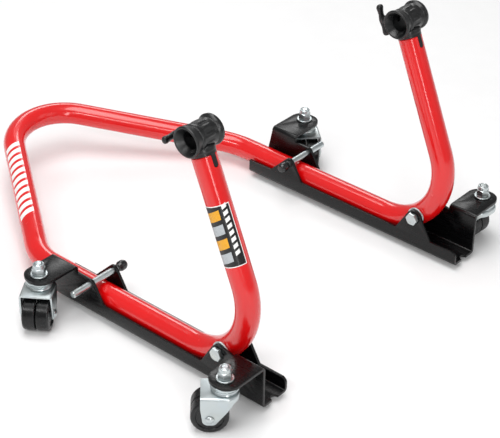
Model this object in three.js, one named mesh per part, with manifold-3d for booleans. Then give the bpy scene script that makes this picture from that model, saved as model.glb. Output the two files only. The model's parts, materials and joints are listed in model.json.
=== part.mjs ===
// Paddock stand. One bent steel tube makes the two uprights, the base rails and the V handle. It
// tilts on two bolts between folded sheet channels, which roll on four twin-wheel swivel castors.
// Millimetres, +Z up, +X towards the handle, +Y to the left. Shapes are drawn with X = 0 on the
// tilt axis and Z = 0 on the floor, and the finished group is centred over its own footprint.

import * as THREE from "three";
import { mergeVertices } from "three/addons/utils/BufferGeometryUtils.js";
import Module from "manifold-3d";

const wasm = await Module();
wasm.setup();

// Fits
const TOUCH = 0.3; // gap left between pieces that rest on each other
const HOLE_PLAY = 0.8; // hole diameter over the pin or bolt that it takes

// Frame tube
const TUBE_OD = 34;
const TUBE_WALL = 2.5;
const TRACK = 430.6; // between the two base rails, centre to centre
const LEAN = THREE.MathUtils.degToRad(22.5); // uprights, from vertical towards the handle
const HEEL_X = -77.8; // where the base rail and the upright would meet, unbent
const HEEL_BEND = 99;
const UPRIGHT_LENGTH = 326; // from that corner to the open end
const RAIL_LENGTH = 444.8; // from that corner to the start of the handle
const HANDLE_SPLAY = THREE.MathUtils.degToRad(35.25); // each arm inwards, seen from above
const HANDLE_RISE = 54; // of the unbent apex over the rails
const HANDLE_BEND = 87;
const SLOT_DEPTH = 17.6;
const SLOT_WIDTH = 7.8;

// Side channels
const SHEET = 4;
const GROUND_CLEARANCE = 8.2;
const CHANNEL_REAR = -77;
const CHANNEL_LENGTH = 393.5;
const TUBE_TO_WALL = 3.7; // each side of the tube, where the spacer discs go
const LOW_WALL = 21.8; // height of the plain walls
const FOLD_RADIUS = 6;
const NOTCH_RADIUS = 6;
const FRONT_SLANT = 8;
const END_CORNER = 8; // of the inner wall, at the rear
const FOLD_RELIEF = 3; // step down from each castor plate's fold to the wall beside it
const PIVOT_RISE = 29.6; // of the tilt axis over the rails
const PIVOT_EAR_RADIUS = 12;
const PIVOT_EAR_FOOT = 31;
const PIN_X = 236.8;
const PIN_OVER_TUBE = 3.7; // gap between the pin and the rail that it holds down
const PIN_EAR_RADIUS = 8.5;
const PIN_EAR_REAR_FOOT = 24.8;
const PIN_EAR_FRONT_FOOT = 36.7;

// Castor plates, folded outwards from the outer walls
const PLATE_WIDTH = 46;
const PLATE_OVERHANG = 18.5; // beyond the kingpin
const PLATE_CORNER = 20;

// Pivot bolts
const BOLT = 10;
const BOLT_AF = 17;
const BOLT_HEAD = 6.4;
const NUT_HEIGHT = 8;
const DISC_DIAMETER = 28;

// Lock pins
const LOCK_PIN = 10;
const LOCK_PIN_STANDOUT = 33; // beyond the outer wall
const KNOB_DIAMETER = 15;
const KNOB_LENGTH = 18;
const KNOB_STANDOUT = 3; // beyond the inner wall

// Castors
const WHEEL_DIAMETER = 50;
const WHEEL_WIDTH = 18;
const WHEEL_EDGE = 3;
const WHEEL_GAP = 2;
const TRAIL = 19;
const AXLE = 8;
const FORK_SHEET = 2.5;
const FORK_PLAY = 1.5; // wheel to fork cheek
const CROWN_ROOM = 8.5; // top of the fork over the wheels
const RACE_ROOM = 11.5; // fork to castor plate, filled by the raceway
const SWIVEL_ROOM = 3.6; // outer wall to the furthest tread, as the castor turns
const FORK_REAR = 31;
const FORK_FRONT = 19;
const CHEEK_END = 8.5; // of each cheek, below the axle
const RACE_DIAMETER = 38;
const WASHER_DIAMETER = 24;
const WASHER_THICKNESS = 2.5;
const KINGPIN_NUT_HEIGHT = 16;
const KINGPIN_NUT_COLLAR = 6; // of that height, the round collar over the hexagon
const CASTORS = [
  // the way each fork trails, in degrees from +X
  { name: "front_left", end: "front", side: 1, heading: 125 },
  { name: "rear_left", end: "rear", side: 1, heading: 41 },
  { name: "front_right", end: "front", side: -1, heading: 138 },
  { name: "rear_right", end: "rear", side: -1, heading: -3 },
];

// Lifting heads
const HEAD_HEIGHT = 24; // barrel axis above the tube's open end
const HEAD_LENGTH = 51;
const HEAD_SHIFT = -2.5; // of the barrel's middle from the upright's axis, away from the mouth
const HEAD_BORE = 24;
const HEAD_FUNNEL = 5; // how much wider the bore's radius is at the mouth
const HEAD_BODY = 36;
const HEAD_MOUTH = 43;
const HEAD_FLANGE = 42.5;
const STEM_LENGTH = 60;
const WING_REACH = 41; // barrel axis to the middle of the wings
const WING_RISE = 3; // of the screw over the barrel axis
const WING_SPAN = 46;
const WING_THICKNESS = 9;
const WING_SCREW = 8;
const WING_TURN = { left: 0, right: 90 }; // degrees about the screw, 0 with the wings along Y

// Fineness of round shapes
const TUBE_SIDES = 20;
const ROD_SIDES = 14;
const WHEEL_SIDES = 24;
const CORNER_STEP = Math.PI / 8;
const BEND_STEP = THREE.MathUtils.degToRad(16.5);

// Worked out from the above
const RAIL_HEIGHT = GROUND_CLEARANCE + SHEET + TOUCH + TUBE_OD / 2;
const RAIL_Y = TRACK / 2;
const CHANNEL_WIDTH = TUBE_OD + 2 * (TUBE_TO_WALL + SHEET);
const OUTER_WALL = RAIL_Y + CHANNEL_WIDTH / 2;
const INNER_WALL = RAIL_Y - CHANNEL_WIDTH / 2;
const CHANNEL_FRONT = CHANNEL_REAR + CHANNEL_LENGTH;
const WALL_TOP = GROUND_CLEARANCE + LOW_WALL;
const PLATE_CENTRE = {
  front: CHANNEL_FRONT - FRONT_SLANT - PLATE_WIDTH / 2,
  rear: CHANNEL_REAR + PLATE_WIDTH / 2,
};
const PIVOT_HEIGHT = RAIL_HEIGHT + PIVOT_RISE;
const PIN_HEIGHT = RAIL_HEIGHT + TUBE_OD / 2 + PIN_OVER_TUBE + LOCK_PIN / 2;
const FORK_TOP = WHEEL_DIAMETER + CROWN_ROOM;
const PLATE_TOP = FORK_TOP + RACE_ROOM + SHEET;
const KINGPIN_Y = OUTER_WALL + TRAIL + WHEEL_DIAMETER / 2 + SWIVEL_ROOM;
const DISC_THICKNESS = TUBE_TO_WALL - 2 * TOUCH;
const AXLE_HEIGHT = WHEEL_DIAMETER / 2;
const CHEEK_INSIDE = WHEEL_GAP / 2 + WHEEL_WIDTH + FORK_PLAY;
const CHEEK_OUTSIDE = CHEEK_INSIDE + FORK_SHEET;

// Solids

/** A closed manifold from a three.js geometry, turned right side out. */
function solid(geometry) {
  const bare = geometry.clone();
  bare.deleteAttribute("normal");
  bare.deleteAttribute("uv");
  const merged = mergeVertices(bare, 1e-4);
  const position = merged.attributes.position.array;
  const index = merged.index.array;
  const corner = (i) => new THREE.Vector3().fromArray(position, 3 * index[i]);
  const triangles = [];
  let volume = 0;
  for (let i = 0; i < index.length; i += 3) {
    const [a, b, c] = [index[i], index[i + 1], index[i + 2]];
    if (a === b || b === c || c === a) continue;
    triangles.push(a, b, c);
    volume += corner(i).dot(corner(i + 1).cross(corner(i + 2)));
  }
  if (volume < 0) triangles.reverse();
  const mesh = new wasm.Mesh({
    numProp: 3,
    vertProperties: Float32Array.from(position),
    triVerts: Uint32Array.from(triangles),
  });
  return new wasm.Manifold(mesh);
}

/** A three.js geometry from a manifold. */
function geometryOf(manifold) {
  const mesh = manifold.getMesh();
  const geometry = new THREE.BufferGeometry();
  geometry.setAttribute("position", new THREE.BufferAttribute(mesh.vertProperties, 3));
  geometry.setIndex(new THREE.BufferAttribute(mesh.triVerts, 1));
  return geometry;
}

/** The first solid with the others joined on. */
const join = (first, ...others) => others.reduce((whole, piece) => whole.add(piece), first);

/** The first solid with the others cut out. */
const cut = (first, ...others) => others.reduce((whole, piece) => whole.subtract(piece), first);

/** A round bar along X, Y or Z, from one coordinate to another, centred at `at`. */
function rod(axis, diameter, from, to, at, sides = ROD_SIDES) {
  const bar = new THREE.CylinderGeometry(diameter / 2, diameter / 2, to - from, sides);
  bar.rotateY(Math.PI / sides);
  bar.translate(0, (from + to) / 2, 0);
  if (axis === "x") bar.rotateZ(-Math.PI / 2);
  if (axis === "z") bar.rotateX(Math.PI / 2);
  return solid(bar.translate(...at));
}

/** A hexagonal bar, given across its flats. */
const hexagon = (axis, acrossFlats, from, to, at) =>
  rod(axis, (2 * acrossFlats) / Math.sqrt(3), from, to, at, 6);

/** A box from its low corner to its high corner. */
function box(low, high) {
  const size = high.map((value, i) => value - low[i]);
  const middle = high.map((value, i) => (value + low[i]) / 2);
  return solid(new THREE.BoxGeometry(...size).translate(...middle));
}

/** A profile of [radius, height] points turned about Z, or about Y. */
function turned(profile, axis = "z", sides = ROD_SIDES) {
  const points = profile.map(([radius, height]) => new THREE.Vector2(radius, height));
  const lathe = new THREE.LatheGeometry([...points, points[0].clone()], sides);
  if (axis === "z") lathe.rotateX(Math.PI / 2);
  return solid(lathe);
}

/** Points of an arc about a centre, both ends included. */
function arc(centre, radius, from, to) {
  const steps = Math.max(2, Math.ceil(Math.abs(to - from) / CORNER_STEP));
  const points = [];
  for (let k = 0; k <= steps; k += 1) {
    const angle = from + ((to - from) * k) / steps;
    points.push([centre[0] + radius * Math.cos(angle), centre[1] + radius * Math.sin(angle)]);
  }
  return points;
}

/** A closed outline from corners [x, y] or [x, y, radius], its radiused corners rounded off. */
function roundedOutline(corners) {
  const points = [];
  corners.forEach(([x, y, radius = 0], i) => {
    if (radius === 0) {
      points.push([x, y]);
      return;
    }
    const here = new THREE.Vector2(x, y);
    const [beforeX, beforeY] = corners.at(i - 1);
    const [afterX, afterY] = corners[(i + 1) % corners.length];
    const back = new THREE.Vector2(beforeX, beforeY).sub(here).normalize();
    const on = new THREE.Vector2(afterX, afterY).sub(here).normalize();
    const half = Math.acos(back.dot(on)) / 2;
    const centre = back.clone().add(on).setLength(radius / Math.sin(half)).add(here);
    const turn = Math.sign(on.cross(back)) * (Math.PI - 2 * half);
    const start = back.setLength(radius / Math.tan(half)).add(here).sub(centre).angle();
    points.push(...arc([centre.x, centre.y], radius, start, start + turn));
  });
  return new THREE.Shape(points.map(([x, y]) => new THREE.Vector2(x, y)));
}

/** An outline given a thickness along X, Y or Z. It is drawn in the other two, in order. */
function plate(axis, outline, from, to) {
  const options = { depth: to - from, bevelEnabled: false, steps: 1 };
  const sheet = new THREE.ExtrudeGeometry(outline, options).translate(0, 0, from);
  if (axis === "x") sheet.rotateX(Math.PI / 2).rotateZ(Math.PI / 2);
  if (axis === "y") sheet.translate(0, 0, -from - to).rotateX(Math.PI / 2);
  return solid(sheet);
}

/** The corner [x, z, radius] of an ear whose two edges, from their feet, touch a round end. */
function earCorner(rearFoot, frontFoot, centre, radius) {
  const edge = (foot, side) => {
    const arm = new THREE.Vector2(foot[0] - centre[0], foot[1] - centre[1]);
    const normal = arm.angle() + side * Math.acos(radius / arm.length());
    return [Math.cos(normal), Math.sin(normal)];
  };
  const [a, b] = edge(rearFoot, -1);
  const [c, d] = edge(frontFoot, 1);
  const scale = radius / (a * d - b * c);
  return [centre[0] + (d - b) * scale, centre[1] + (a - c) * scale, radius];
}

// Bent tube

/** A path through stations on a bent tube's axis: straight runs, and points along each bend. */
class BentPath extends THREE.Curve {
  constructor(corners, bendRadii) {
    super();
    this.stations = [];
    corners.forEach((corner, i) => {
      const towards = (other) => other.clone().sub(corner).normalize();
      if (i === 0 || i === corners.length - 1) {
        const along = i === 0 ? towards(corners[1]) : towards(corners[i - 1]).negate();
        this.stations.push({ point: corner, tangent: along });
        return;
      }
      const back = towards(corners[i - 1]);
      const on = towards(corners[i + 1]);
      const half = back.angleTo(on) / 2;
      const radius = bendRadii[i - 1];
      const centre = back.clone().add(on).setLength(radius / Math.sin(half)).add(corner);
      const start = back.clone().multiplyScalar(radius / Math.tan(half)).add(corner).sub(centre);
      const axis = on.clone().cross(back).normalize();
      const turn = Math.PI - 2 * half;
      const steps = Math.ceil(turn / BEND_STEP);
      for (let k = 0; k <= steps; k += 1) {
        const angle = (turn * k) / steps;
        const spoke = start.clone().applyAxisAngle(axis, angle);
        const tangent = back.clone().negate().applyAxisAngle(axis, angle);
        this.stations.push({ point: spoke.add(centre), tangent });
      }
    });
  }

  pick(u, name) {
    const at = u * (this.stations.length - 1);
    const low = Math.min(Math.floor(at + 1e-9), this.stations.length - 2);
    return this.stations[low][name].clone().lerp(this.stations[low + 1][name], at - low);
  }

  getPoint(u) {
    return this.pick(u, "point");
  }

  getPointAt(u) {
    return this.pick(u, "point");
  }

  getTangent(u) {
    return this.pick(u, "tangent").normalize();
  }

  getTangentAt(u) {
    return this.getTangent(u);
  }
}

/** The frame tube's axis, with the open ends carried on by `extra`. */
function framePath(extra = 0) {
  const upright = new THREE.Vector3(Math.sin(LEAN), 0, Math.cos(LEAN));
  const side = (y) => {
    const heel = new THREE.Vector3(HEEL_X, y, RAIL_HEIGHT);
    const top = heel.clone().addScaledVector(upright, UPRIGHT_LENGTH + extra);
    return [top, heel, new THREE.Vector3(HEEL_X + RAIL_LENGTH, y, RAIL_HEIGHT)];
  };
  const apexX = HEEL_X + RAIL_LENGTH + RAIL_Y / Math.tan(HANDLE_SPLAY);
  const apex = new THREE.Vector3(apexX, 0, RAIL_HEIGHT + HANDLE_RISE);
  const corners = [...side(RAIL_Y), apex, ...side(-RAIL_Y).reverse()];
  return new BentPath(corners, [HEEL_BEND, HANDLE_BEND, HANDLE_BEND, HANDLE_BEND, HEEL_BEND]);
}

/** A round bar of one diameter along the frame path. */
function frameBar(diameter, extra) {
  const path = framePath(extra);
  const ring = [];
  for (let k = 0; k < TUBE_SIDES; k += 1) {
    const spoke = new THREE.Vector2(diameter / 2, 0);
    ring.push(spoke.rotateAround(new THREE.Vector2(), (2 * Math.PI * k) / TUBE_SIDES));
  }
  const options = { steps: path.stations.length - 1, bevelEnabled: false, extrudePath: path };
  return solid(new THREE.ExtrudeGeometry(new THREE.Shape(ring), options));
}

/** Places a solid drawn on an upright, Z along it and up from the tube's end, in the frame. */
function onUpright(manifold, y) {
  const geometry = geometryOf(manifold);
  geometry.translate(0, 0, UPRIGHT_LENGTH).rotateY(LEAN).translate(HEEL_X, y, RAIL_HEIGHT);
  return solid(geometry);
}

function frameTube() {
  let tube = cut(frameBar(TUBE_OD, 0), frameBar(TUBE_OD - 2 * TUBE_WALL, 1));
  const slotEnd = -SLOT_DEPTH + SLOT_WIDTH / 2;
  const slot = join(
    box([-TUBE_OD, -SLOT_WIDTH / 2, slotEnd], [0, SLOT_WIDTH / 2, 1]),
    rod("x", SLOT_WIDTH, -TUBE_OD, 0, [0, 0, slotEnd]),
  );
  for (const y of [RAIL_Y, -RAIL_Y]) {
    const hole = rod("y", BOLT + HOLE_PLAY, y - TUBE_OD, y + TUBE_OD, [0, 0, PIVOT_HEIGHT]);
    tube = cut(tube, hole, onUpright(slot, y));
  }
  return tube;
}

// Channels, drawn for the left side and mirrored for the right

/** One wall with its ears, drawn in X and Z and `SHEET` thick from y. */
function channelWall(y, outer) {
  const base = GROUND_CLEARANCE + FOLD_RADIUS;
  const foldStart = PLATE_TOP - FOLD_RADIUS;
  const rearEdge = CHANNEL_REAR + PLATE_WIDTH;
  const rearFoot = outer ? [rearEdge, foldStart - FOLD_RELIEF] : [-PIVOT_EAR_FOOT, WALL_TOP];
  const frontPivotFoot = [PIVOT_EAR_FOOT, WALL_TOP];
  const pivotEar = earCorner(rearFoot, frontPivotFoot, [0, PIVOT_HEIGHT], PIVOT_EAR_RADIUS);
  const pinFoot = [PIN_X - PIN_EAR_REAR_FOOT, WALL_TOP];
  const pinCentre = [PIN_X, PIN_HEIGHT];
  const plateEdge = PLATE_CENTRE.front - PLATE_WIDTH / 2;
  const earTop = PIN_HEIGHT + PIN_EAR_RADIUS;
  const frontFoot = outer ? [plateEdge, earTop] : [PIN_X + PIN_EAR_FRONT_FOOT, WALL_TOP];
  const pinEar = earCorner(pinFoot, frontFoot, pinCentre, PIN_EAR_RADIUS);
  const front = outer
    ? [[...frontFoot], [plateEdge, foldStart], [CHANNEL_FRONT - FRONT_SLANT, foldStart]]
    : [[...frontFoot]];
  const rear = outer
    ? [[CHANNEL_REAR, foldStart], [rearEdge, foldStart]]
    : [[CHANNEL_REAR, WALL_TOP, END_CORNER]];
  const outline = roundedOutline([
    ...rear,
    rearFoot,
    pivotEar,
    frontPivotFoot,
    pinFoot,
    pinEar,
    ...front,
    [CHANNEL_FRONT, WALL_TOP],
    [CHANNEL_FRONT, base],
    [CHANNEL_REAR, base],
  ]);
  return plate("y", outline, y, y + SHEET);
}

/** A castor plate, with the fold that joins it to the outer wall. */
function castorPlate(centre) {
  const inside = OUTER_WALL - SHEET;
  const foldZ = PLATE_TOP - FOLD_RADIUS;
  const foldY = inside + FOLD_RADIUS;
  const low = PLATE_TOP - SHEET;
  const fold = [
    [inside, foldZ - TOUCH],
    ...arc([foldY, foldZ], FOLD_RADIUS, Math.PI, Math.PI / 2),
    [foldY + SHEET, PLATE_TOP],
    [foldY + SHEET, low],
    ...arc([foldY, foldZ], FOLD_RADIUS - SHEET, Math.PI / 2, Math.PI),
    [OUTER_WALL, foldZ - TOUCH],
  ];
  const [rear, front] = [centre - PLATE_WIDTH / 2, centre + PLATE_WIDTH / 2];
  const end = KINGPIN_Y + PLATE_OVERHANG;
  const flat = [[rear, foldY], [front, foldY], [front, end, PLATE_CORNER], [rear, end, PLATE_CORNER]];
  return join(
    plate("x", roundedOutline(fold), rear, front),
    plate("z", roundedOutline(flat), low, PLATE_TOP),
  );
}

/** The left channel: floor, two walls, two castor plates and every hole. */
function leftChannel() {
  const floorUp = GROUND_CLEARANCE + SHEET;
  const foldTop = GROUND_CLEARANCE + FOLD_RADIUS + 1;
  const inFold = FOLD_RADIUS - SHEET;
  const tray = roundedOutline([
    [INNER_WALL, foldTop],
    [INNER_WALL, GROUND_CLEARANCE, FOLD_RADIUS],
    [OUTER_WALL, GROUND_CLEARANCE, FOLD_RADIUS],
    [OUTER_WALL, foldTop],
    [OUTER_WALL - SHEET, foldTop],
    [OUTER_WALL - SHEET, floorUp, inFold],
    [INNER_WALL + SHEET, floorUp, inFold],
    [INNER_WALL + SHEET, foldTop],
  ]);
  const channel = join(
    plate("x", tray, CHANNEL_REAR, CHANNEL_FRONT),
    channelWall(OUTER_WALL - SHEET, true),
    channelWall(INNER_WALL, false),
    castorPlate(PLATE_CENTRE.front),
    castorPlate(PLATE_CENTRE.rear),
  );
  const across = [INNER_WALL - SHEET, OUTER_WALL + SHEET];
  const up = [PLATE_TOP - 2 * SHEET, PLATE_TOP + SHEET];
  return cut(
    channel,
    rod("y", BOLT + HOLE_PLAY, ...across, [0, 0, PIVOT_HEIGHT]),
    rod("y", LOCK_PIN + HOLE_PLAY, ...across, [PIN_X, 0, PIN_HEIGHT]),
    rod("z", BOLT + HOLE_PLAY, ...up, [PLATE_CENTRE.front, KINGPIN_Y, 0]),
    rod("z", BOLT + HOLE_PLAY, ...up, [PLATE_CENTRE.rear, KINGPIN_Y, 0]),
    rod("z", 2 * NOTCH_RADIUS, 0, floorUp + 1, [CHANNEL_REAR, RAIL_Y, 0]),
  );
}

// Pivot hardware, drawn about the tilt axis with Y = 0 on the wall that the bolt head bears on

const BOLT_GRIP = CHANNEL_WIDTH + 2 * TOUCH;

function pivotBolt() {
  const end = -(BOLT_GRIP + NUT_HEIGHT + 2);
  const shank = rod("y", BOLT, end, TOUCH + 1, [0, 0, 0]);
  return join(shank, hexagon("y", BOLT_AF, TOUCH, TOUCH + BOLT_HEAD, [0, 0, 0]));
}

function pivotNut() {
  const top = -CHANNEL_WIDTH - TOUCH;
  const block = hexagon("y", BOLT_AF, top - NUT_HEIGHT, top, [0, 0, 0]);
  return cut(block, rod("y", BOLT + 2 * TOUCH, top - 2 * NUT_HEIGHT, top + 1, [0, 0, 0]));
}

function pivotDisc() {
  const disc = rod("y", DISC_DIAMETER, 0, DISC_THICKNESS, [0, 0, 0], TUBE_SIDES);
  return cut(disc, rod("y", BOLT + HOLE_PLAY, -1, DISC_THICKNESS + 1, [0, 0, 0]));
}

// Lock pins, drawn for the left side about the pin's own axis

function lockPin() {
  const tip = OUTER_WALL + LOCK_PIN_STANDOUT;
  const inKnob = INNER_WALL - KNOB_STANDOUT - KNOB_LENGTH / 2;
  const radius = LOCK_PIN / 2;
  return turned([[0, inKnob], [radius, inKnob], [radius, tip - 1.5], [radius - 1.5, tip], [0, tip]], "y");
}

function lockKnob() {
  const start = INNER_WALL - KNOB_STANDOUT;
  const end = start - KNOB_LENGTH;
  const radius = KNOB_DIAMETER / 2;
  const grip = turned(
    [
      [0, start],
      [radius - 2, start],
      [radius - 2, start - 4],
      [radius, start - 7],
      [radius, end + 4],
      [radius - 3, end],
      [0, end],
    ],
    "y",
  );
  const socketEnd = start - KNOB_LENGTH / 2 - TOUCH;
  return cut(grip, rod("y", LOCK_PIN + 2 * TOUCH, socketEnd, start + 1, [0, 0, 0]));
}

// Castors, drawn with Z = 0 on the floor, the kingpin on the Z axis and the fork trailing to +X

function kingpin() {
  const headTop = FORK_TOP - FORK_SHEET - TOUCH;
  const top = PLATE_TOP + WASHER_THICKNESS + KINGPIN_NUT_HEIGHT + 3.5;
  return turned([
    [0, headTop - 3],
    [8, headTop - 3],
    [8, headTop],
    [BOLT / 2, headTop],
    [BOLT / 2, top - 1],
    [BOLT / 2 - 1, top],
    [0, top],
  ]);
}

function kingpinNut() {
  const low = PLATE_TOP + WASHER_THICKNESS + 2 * TOUCH;
  const shoulder = low + KINGPIN_NUT_HEIGHT - KINGPIN_NUT_COLLAR;
  const block = join(
    hexagon("z", BOLT_AF, low, shoulder, [0, 0, 0]),
    rod("z", BOLT_AF - 1, shoulder - 1, low + KINGPIN_NUT_HEIGHT, [0, 0, 0]),
  );
  return cut(block, rod("z", BOLT + 2 * TOUCH, low - 1, low + 2 * KINGPIN_NUT_HEIGHT, [0, 0, 0]));
}

function kingpinWasher() {
  const low = PLATE_TOP + TOUCH;
  const disc = rod("z", WASHER_DIAMETER, low, low + WASHER_THICKNESS, [0, 0, 0]);
  return cut(disc, rod("z", BOLT + HOLE_PLAY, low - 1, low + 2 * WASHER_THICKNESS, [0, 0, 0]));
}

function raceway() {
  const low = FORK_TOP + 2 + TOUCH;
  const high = PLATE_TOP - SHEET - TOUCH;
  const radius = RACE_DIAMETER / 2;
  const bore = (BOLT + HOLE_PLAY) / 2;
  return turned([[bore, low], [radius - 1, low], [radius, low + 2], [radius, high - 1.5], [radius - 1.5, high], [bore, high]]);
}

/** The fork: a top sheet with a raised race, and two cheeks that taper to the axle. */
function fork() {
  const under = FORK_TOP - FORK_SHEET;
  const top = roundedOutline([
    [FORK_REAR, -CHEEK_OUTSIDE],
    [FORK_REAR, CHEEK_OUTSIDE],
    [-FORK_FRONT, CHEEK_OUTSIDE, FORK_FRONT],
    [-FORK_FRONT, -CHEEK_OUTSIDE, FORK_FRONT],
  ]);
  const cheek = roundedOutline([
    [-FORK_FRONT / 2, under + 1],
    [FORK_REAR, under + 1],
    [FORK_REAR, under - 5],
    [TRAIL + CHEEK_END, AXLE_HEIGHT - CHEEK_END, CHEEK_END - 1],
    [TRAIL - CHEEK_END + 2, AXLE_HEIGHT - CHEEK_END, CHEEK_END - 3],
    [-FORK_FRONT / 2, under - 6],
  ]);
  const race = [[0, under], [RACE_DIAMETER / 2 - 2, under], [RACE_DIAMETER / 2 - 3, FORK_TOP + 2], [0, FORK_TOP + 2]];
  const body = join(
    plate("z", top, under, FORK_TOP),
    plate("y", cheek, CHEEK_INSIDE, CHEEK_OUTSIDE),
    plate("y", cheek, -CHEEK_OUTSIDE, -CHEEK_INSIDE),
    turned(race),
  );
  return cut(
    body,
    rod("z", BOLT + HOLE_PLAY, under - 1, FORK_TOP + 4, [0, 0, 0]),
    rod("y", AXLE + HOLE_PLAY, -2 * CHEEK_OUTSIDE, 2 * CHEEK_OUTSIDE, [TRAIL, 0, AXLE_HEIGHT]),
  );
}

/** The axle, a rivet with a domed head outside each cheek, about its own axis. */
function axle() {
  const face = CHEEK_OUTSIDE + TOUCH;
  const radius = AXLE / 2;
  const dome = (side) => [[radius + 2, side * face], [radius + 1.5, side * (face + 1.6)], [radius - 1, side * (face + 2.8)]];
  return turned(
    [
      [0, -face - 3],
      ...dome(-1).reverse(),
      [radius, -face],
      [radius, face],
      ...dome(1),
      [0, face + 3],
    ],
    "y",
  );
}

/** One wheel, from its inner face at Y = 0 to its dished outer face. */
function wheel() {
  const radius = WHEEL_DIAMETER / 2;
  const bore = (AXLE + HOLE_PLAY) / 2;
  return turned(
    [
      [bore, 0],
      [radius - WHEEL_EDGE / 2, 0],
      [radius, WHEEL_EDGE / 2],
      [radius, WHEEL_WIDTH - WHEEL_EDGE],
      [radius - WHEEL_EDGE, WHEEL_WIDTH],
      [radius - 2 * WHEEL_EDGE, WHEEL_WIDTH],
      [bore + 2, WHEEL_WIDTH - 1.5],
      [bore, WHEEL_WIDTH],
    ],
    "y",
    WHEEL_SIDES,
  );
}

// Lifting heads, drawn on an upright: Z along it, up from the tube's open end

function headProfile() {
  const half = HEAD_LENGTH / 2;
  const [bore, body, mouth, flange] = [HEAD_BORE, HEAD_BODY, HEAD_MOUTH, HEAD_FLANGE].map((d) => d / 2);
  return [
    [bore, -half],
    [flange - 3, -half],
    [flange, -half + 3],
    [flange, -half + 6],
    [flange - 2, -half + 9],
    [body, -half + 10],
    [body, half - 16],
    [mouth - 1, half - 5],
    [mouth, half - 2.5],
    [mouth - 1.5, half],
    [bore + HEAD_FUNNEL, half],
    [bore, half - 2 * HEAD_FUNNEL],
  ];
}

function head() {
  const geometry = geometryOf(turned(headProfile(), "y", TUBE_SIDES));
  const barrel = solid(geometry.translate(0, HEAD_SHIFT, HEAD_HEIGHT));
  const inside = TUBE_OD / 2 - TUBE_WALL;
  const stemRadius = inside - 0.5;
  const stem = turned(
    [[0, -STEM_LENGTH], [stemRadius - 2, -STEM_LENGTH], [stemRadius, -STEM_LENGTH + 3], [stemRadius, 2], [0, 2]],
    "z",
    TUBE_SIDES,
  );
  const neck = rod("z", TUBE_OD, TOUCH, HEAD_HEIGHT, [0, 0, 0], TUBE_SIDES);
  const keyWidth = SLOT_WIDTH - HOLE_PLAY;
  const keyEnd = -SLOT_DEPTH + (SLOT_WIDTH + HOLE_PLAY) / 2;
  const keyFace = -TUBE_OD / 2 + 0.2;
  const key = join(
    box([keyFace, -keyWidth / 2, keyEnd], [-stemRadius + 2, keyWidth / 2, TOUCH + 1]),
    rod("x", keyWidth, keyFace, -stemRadius + 2, [0, 0, keyEnd]),
  );
  const half = HEAD_LENGTH / 2;
  return cut(
    join(barrel, stem, neck, key),
    rod("y", HEAD_BORE, -half - 1, half + 1, [0, HEAD_SHIFT, HEAD_HEIGHT], TUBE_SIDES),
    rod("x", WING_SCREW + HOLE_PLAY, 0, HEAD_FLANGE, [0, 0, HEAD_HEIGHT + WING_RISE]),
  );
}

/** The wing screw about its own axis, which runs along X from the barrel's axis. */
function wingScrew() {
  const lobe = WING_THICKNESS / 2;
  const tip = HEAD_BORE / 2 + 0.6;
  const shank = rod("x", WING_SCREW, tip, WING_REACH, [0, 0, 0]);
  const hub = rod("x", WING_THICKNESS + 4, WING_REACH - 10, WING_REACH + lobe, [0, 0, 0]);
  const bar = [];
  for (const side of [1, -1]) {
    const centre = side * (WING_SPAN / 2 - lobe);
    bar.push(rod("z", WING_THICKNESS, -5, 5, [WING_REACH, centre, 0]));
  }
  const web = box([WING_REACH - 3, -WING_SPAN / 2 + lobe, -4], [WING_REACH + 3, WING_SPAN / 2 - lobe, 4]);
  return join(shank, hub, web, ...bar);
}

// The assembly

const FINISHES = {
  red_paint: { color: 0xd8151c, roughness: 0.2, metalness: 0 },
  black_paint: { color: 0x17171a, roughness: 0.35, metalness: 0 },
  zinc: { color: 0xc9cdd0, roughness: 0.3, metalness: 1 },
  black_plastic: { color: 0x1b1c1e, roughness: 0.5, metalness: 0 },
  wheel_plastic: { color: 0x202226, roughness: 0.45, metalness: 0 },
};

/** A named mesh with a material of its own. */
function piece(name, manifold, finish) {
  const mesh = new THREE.Mesh(geometryOf(manifold), new THREE.MeshStandardMaterial(FINISHES[finish]));
  mesh.name = name;
  return mesh;
}

/** A group at a place, turned about Z or Y. */
function group(x, y, z, children, turn = {}) {
  const node = new THREE.Group();
  node.position.set(x, y, z);
  node.rotation.set(turn.x ?? 0, turn.y ?? 0, turn.z ?? 0);
  node.add(...children);
  return node;
}

/** Pivot bolt, nut and the two discs that centre the tube, for one channel. */
function pivotSet(side) {
  const name = side > 0 ? "left" : "right";
  const headWall = side > 0 ? OUTER_WALL : -INNER_WALL;
  const wallInside = CHANNEL_WIDTH / 2 - SHEET;
  const discAt = wallInside - TOUCH;
  return [
    group(0, headWall, PIVOT_HEIGHT, [
      piece(`pivot_bolt_${name}`, pivotBolt(), "zinc"),
      piece(`pivot_nut_${name}`, pivotNut(), "zinc"),
    ]),
    group(0, side * RAIL_Y + discAt - DISC_THICKNESS, PIVOT_HEIGHT, [
      piece(`pivot_disc_${name}_${side > 0 ? "outer" : "inner"}`, pivotDisc(), "zinc"),
    ]),
    group(0, side * RAIL_Y - discAt, PIVOT_HEIGHT, [
      piece(`pivot_disc_${name}_${side > 0 ? "inner" : "outer"}`, pivotDisc(), "zinc"),
    ]),
  ];
}

/** Lock pin and its knob. Turned half round about Z, the left pair becomes the right. */
function lockSet(side) {
  const name = side > 0 ? "left" : "right";
  const pair = [piece(`lock_pin_${name}`, lockPin(), "zinc"), piece(`lock_knob_${name}`, lockKnob(), "black_plastic")];
  return group(PIN_X, 0, PIN_HEIGHT, pair, { z: side > 0 ? 0 : Math.PI });
}

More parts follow.
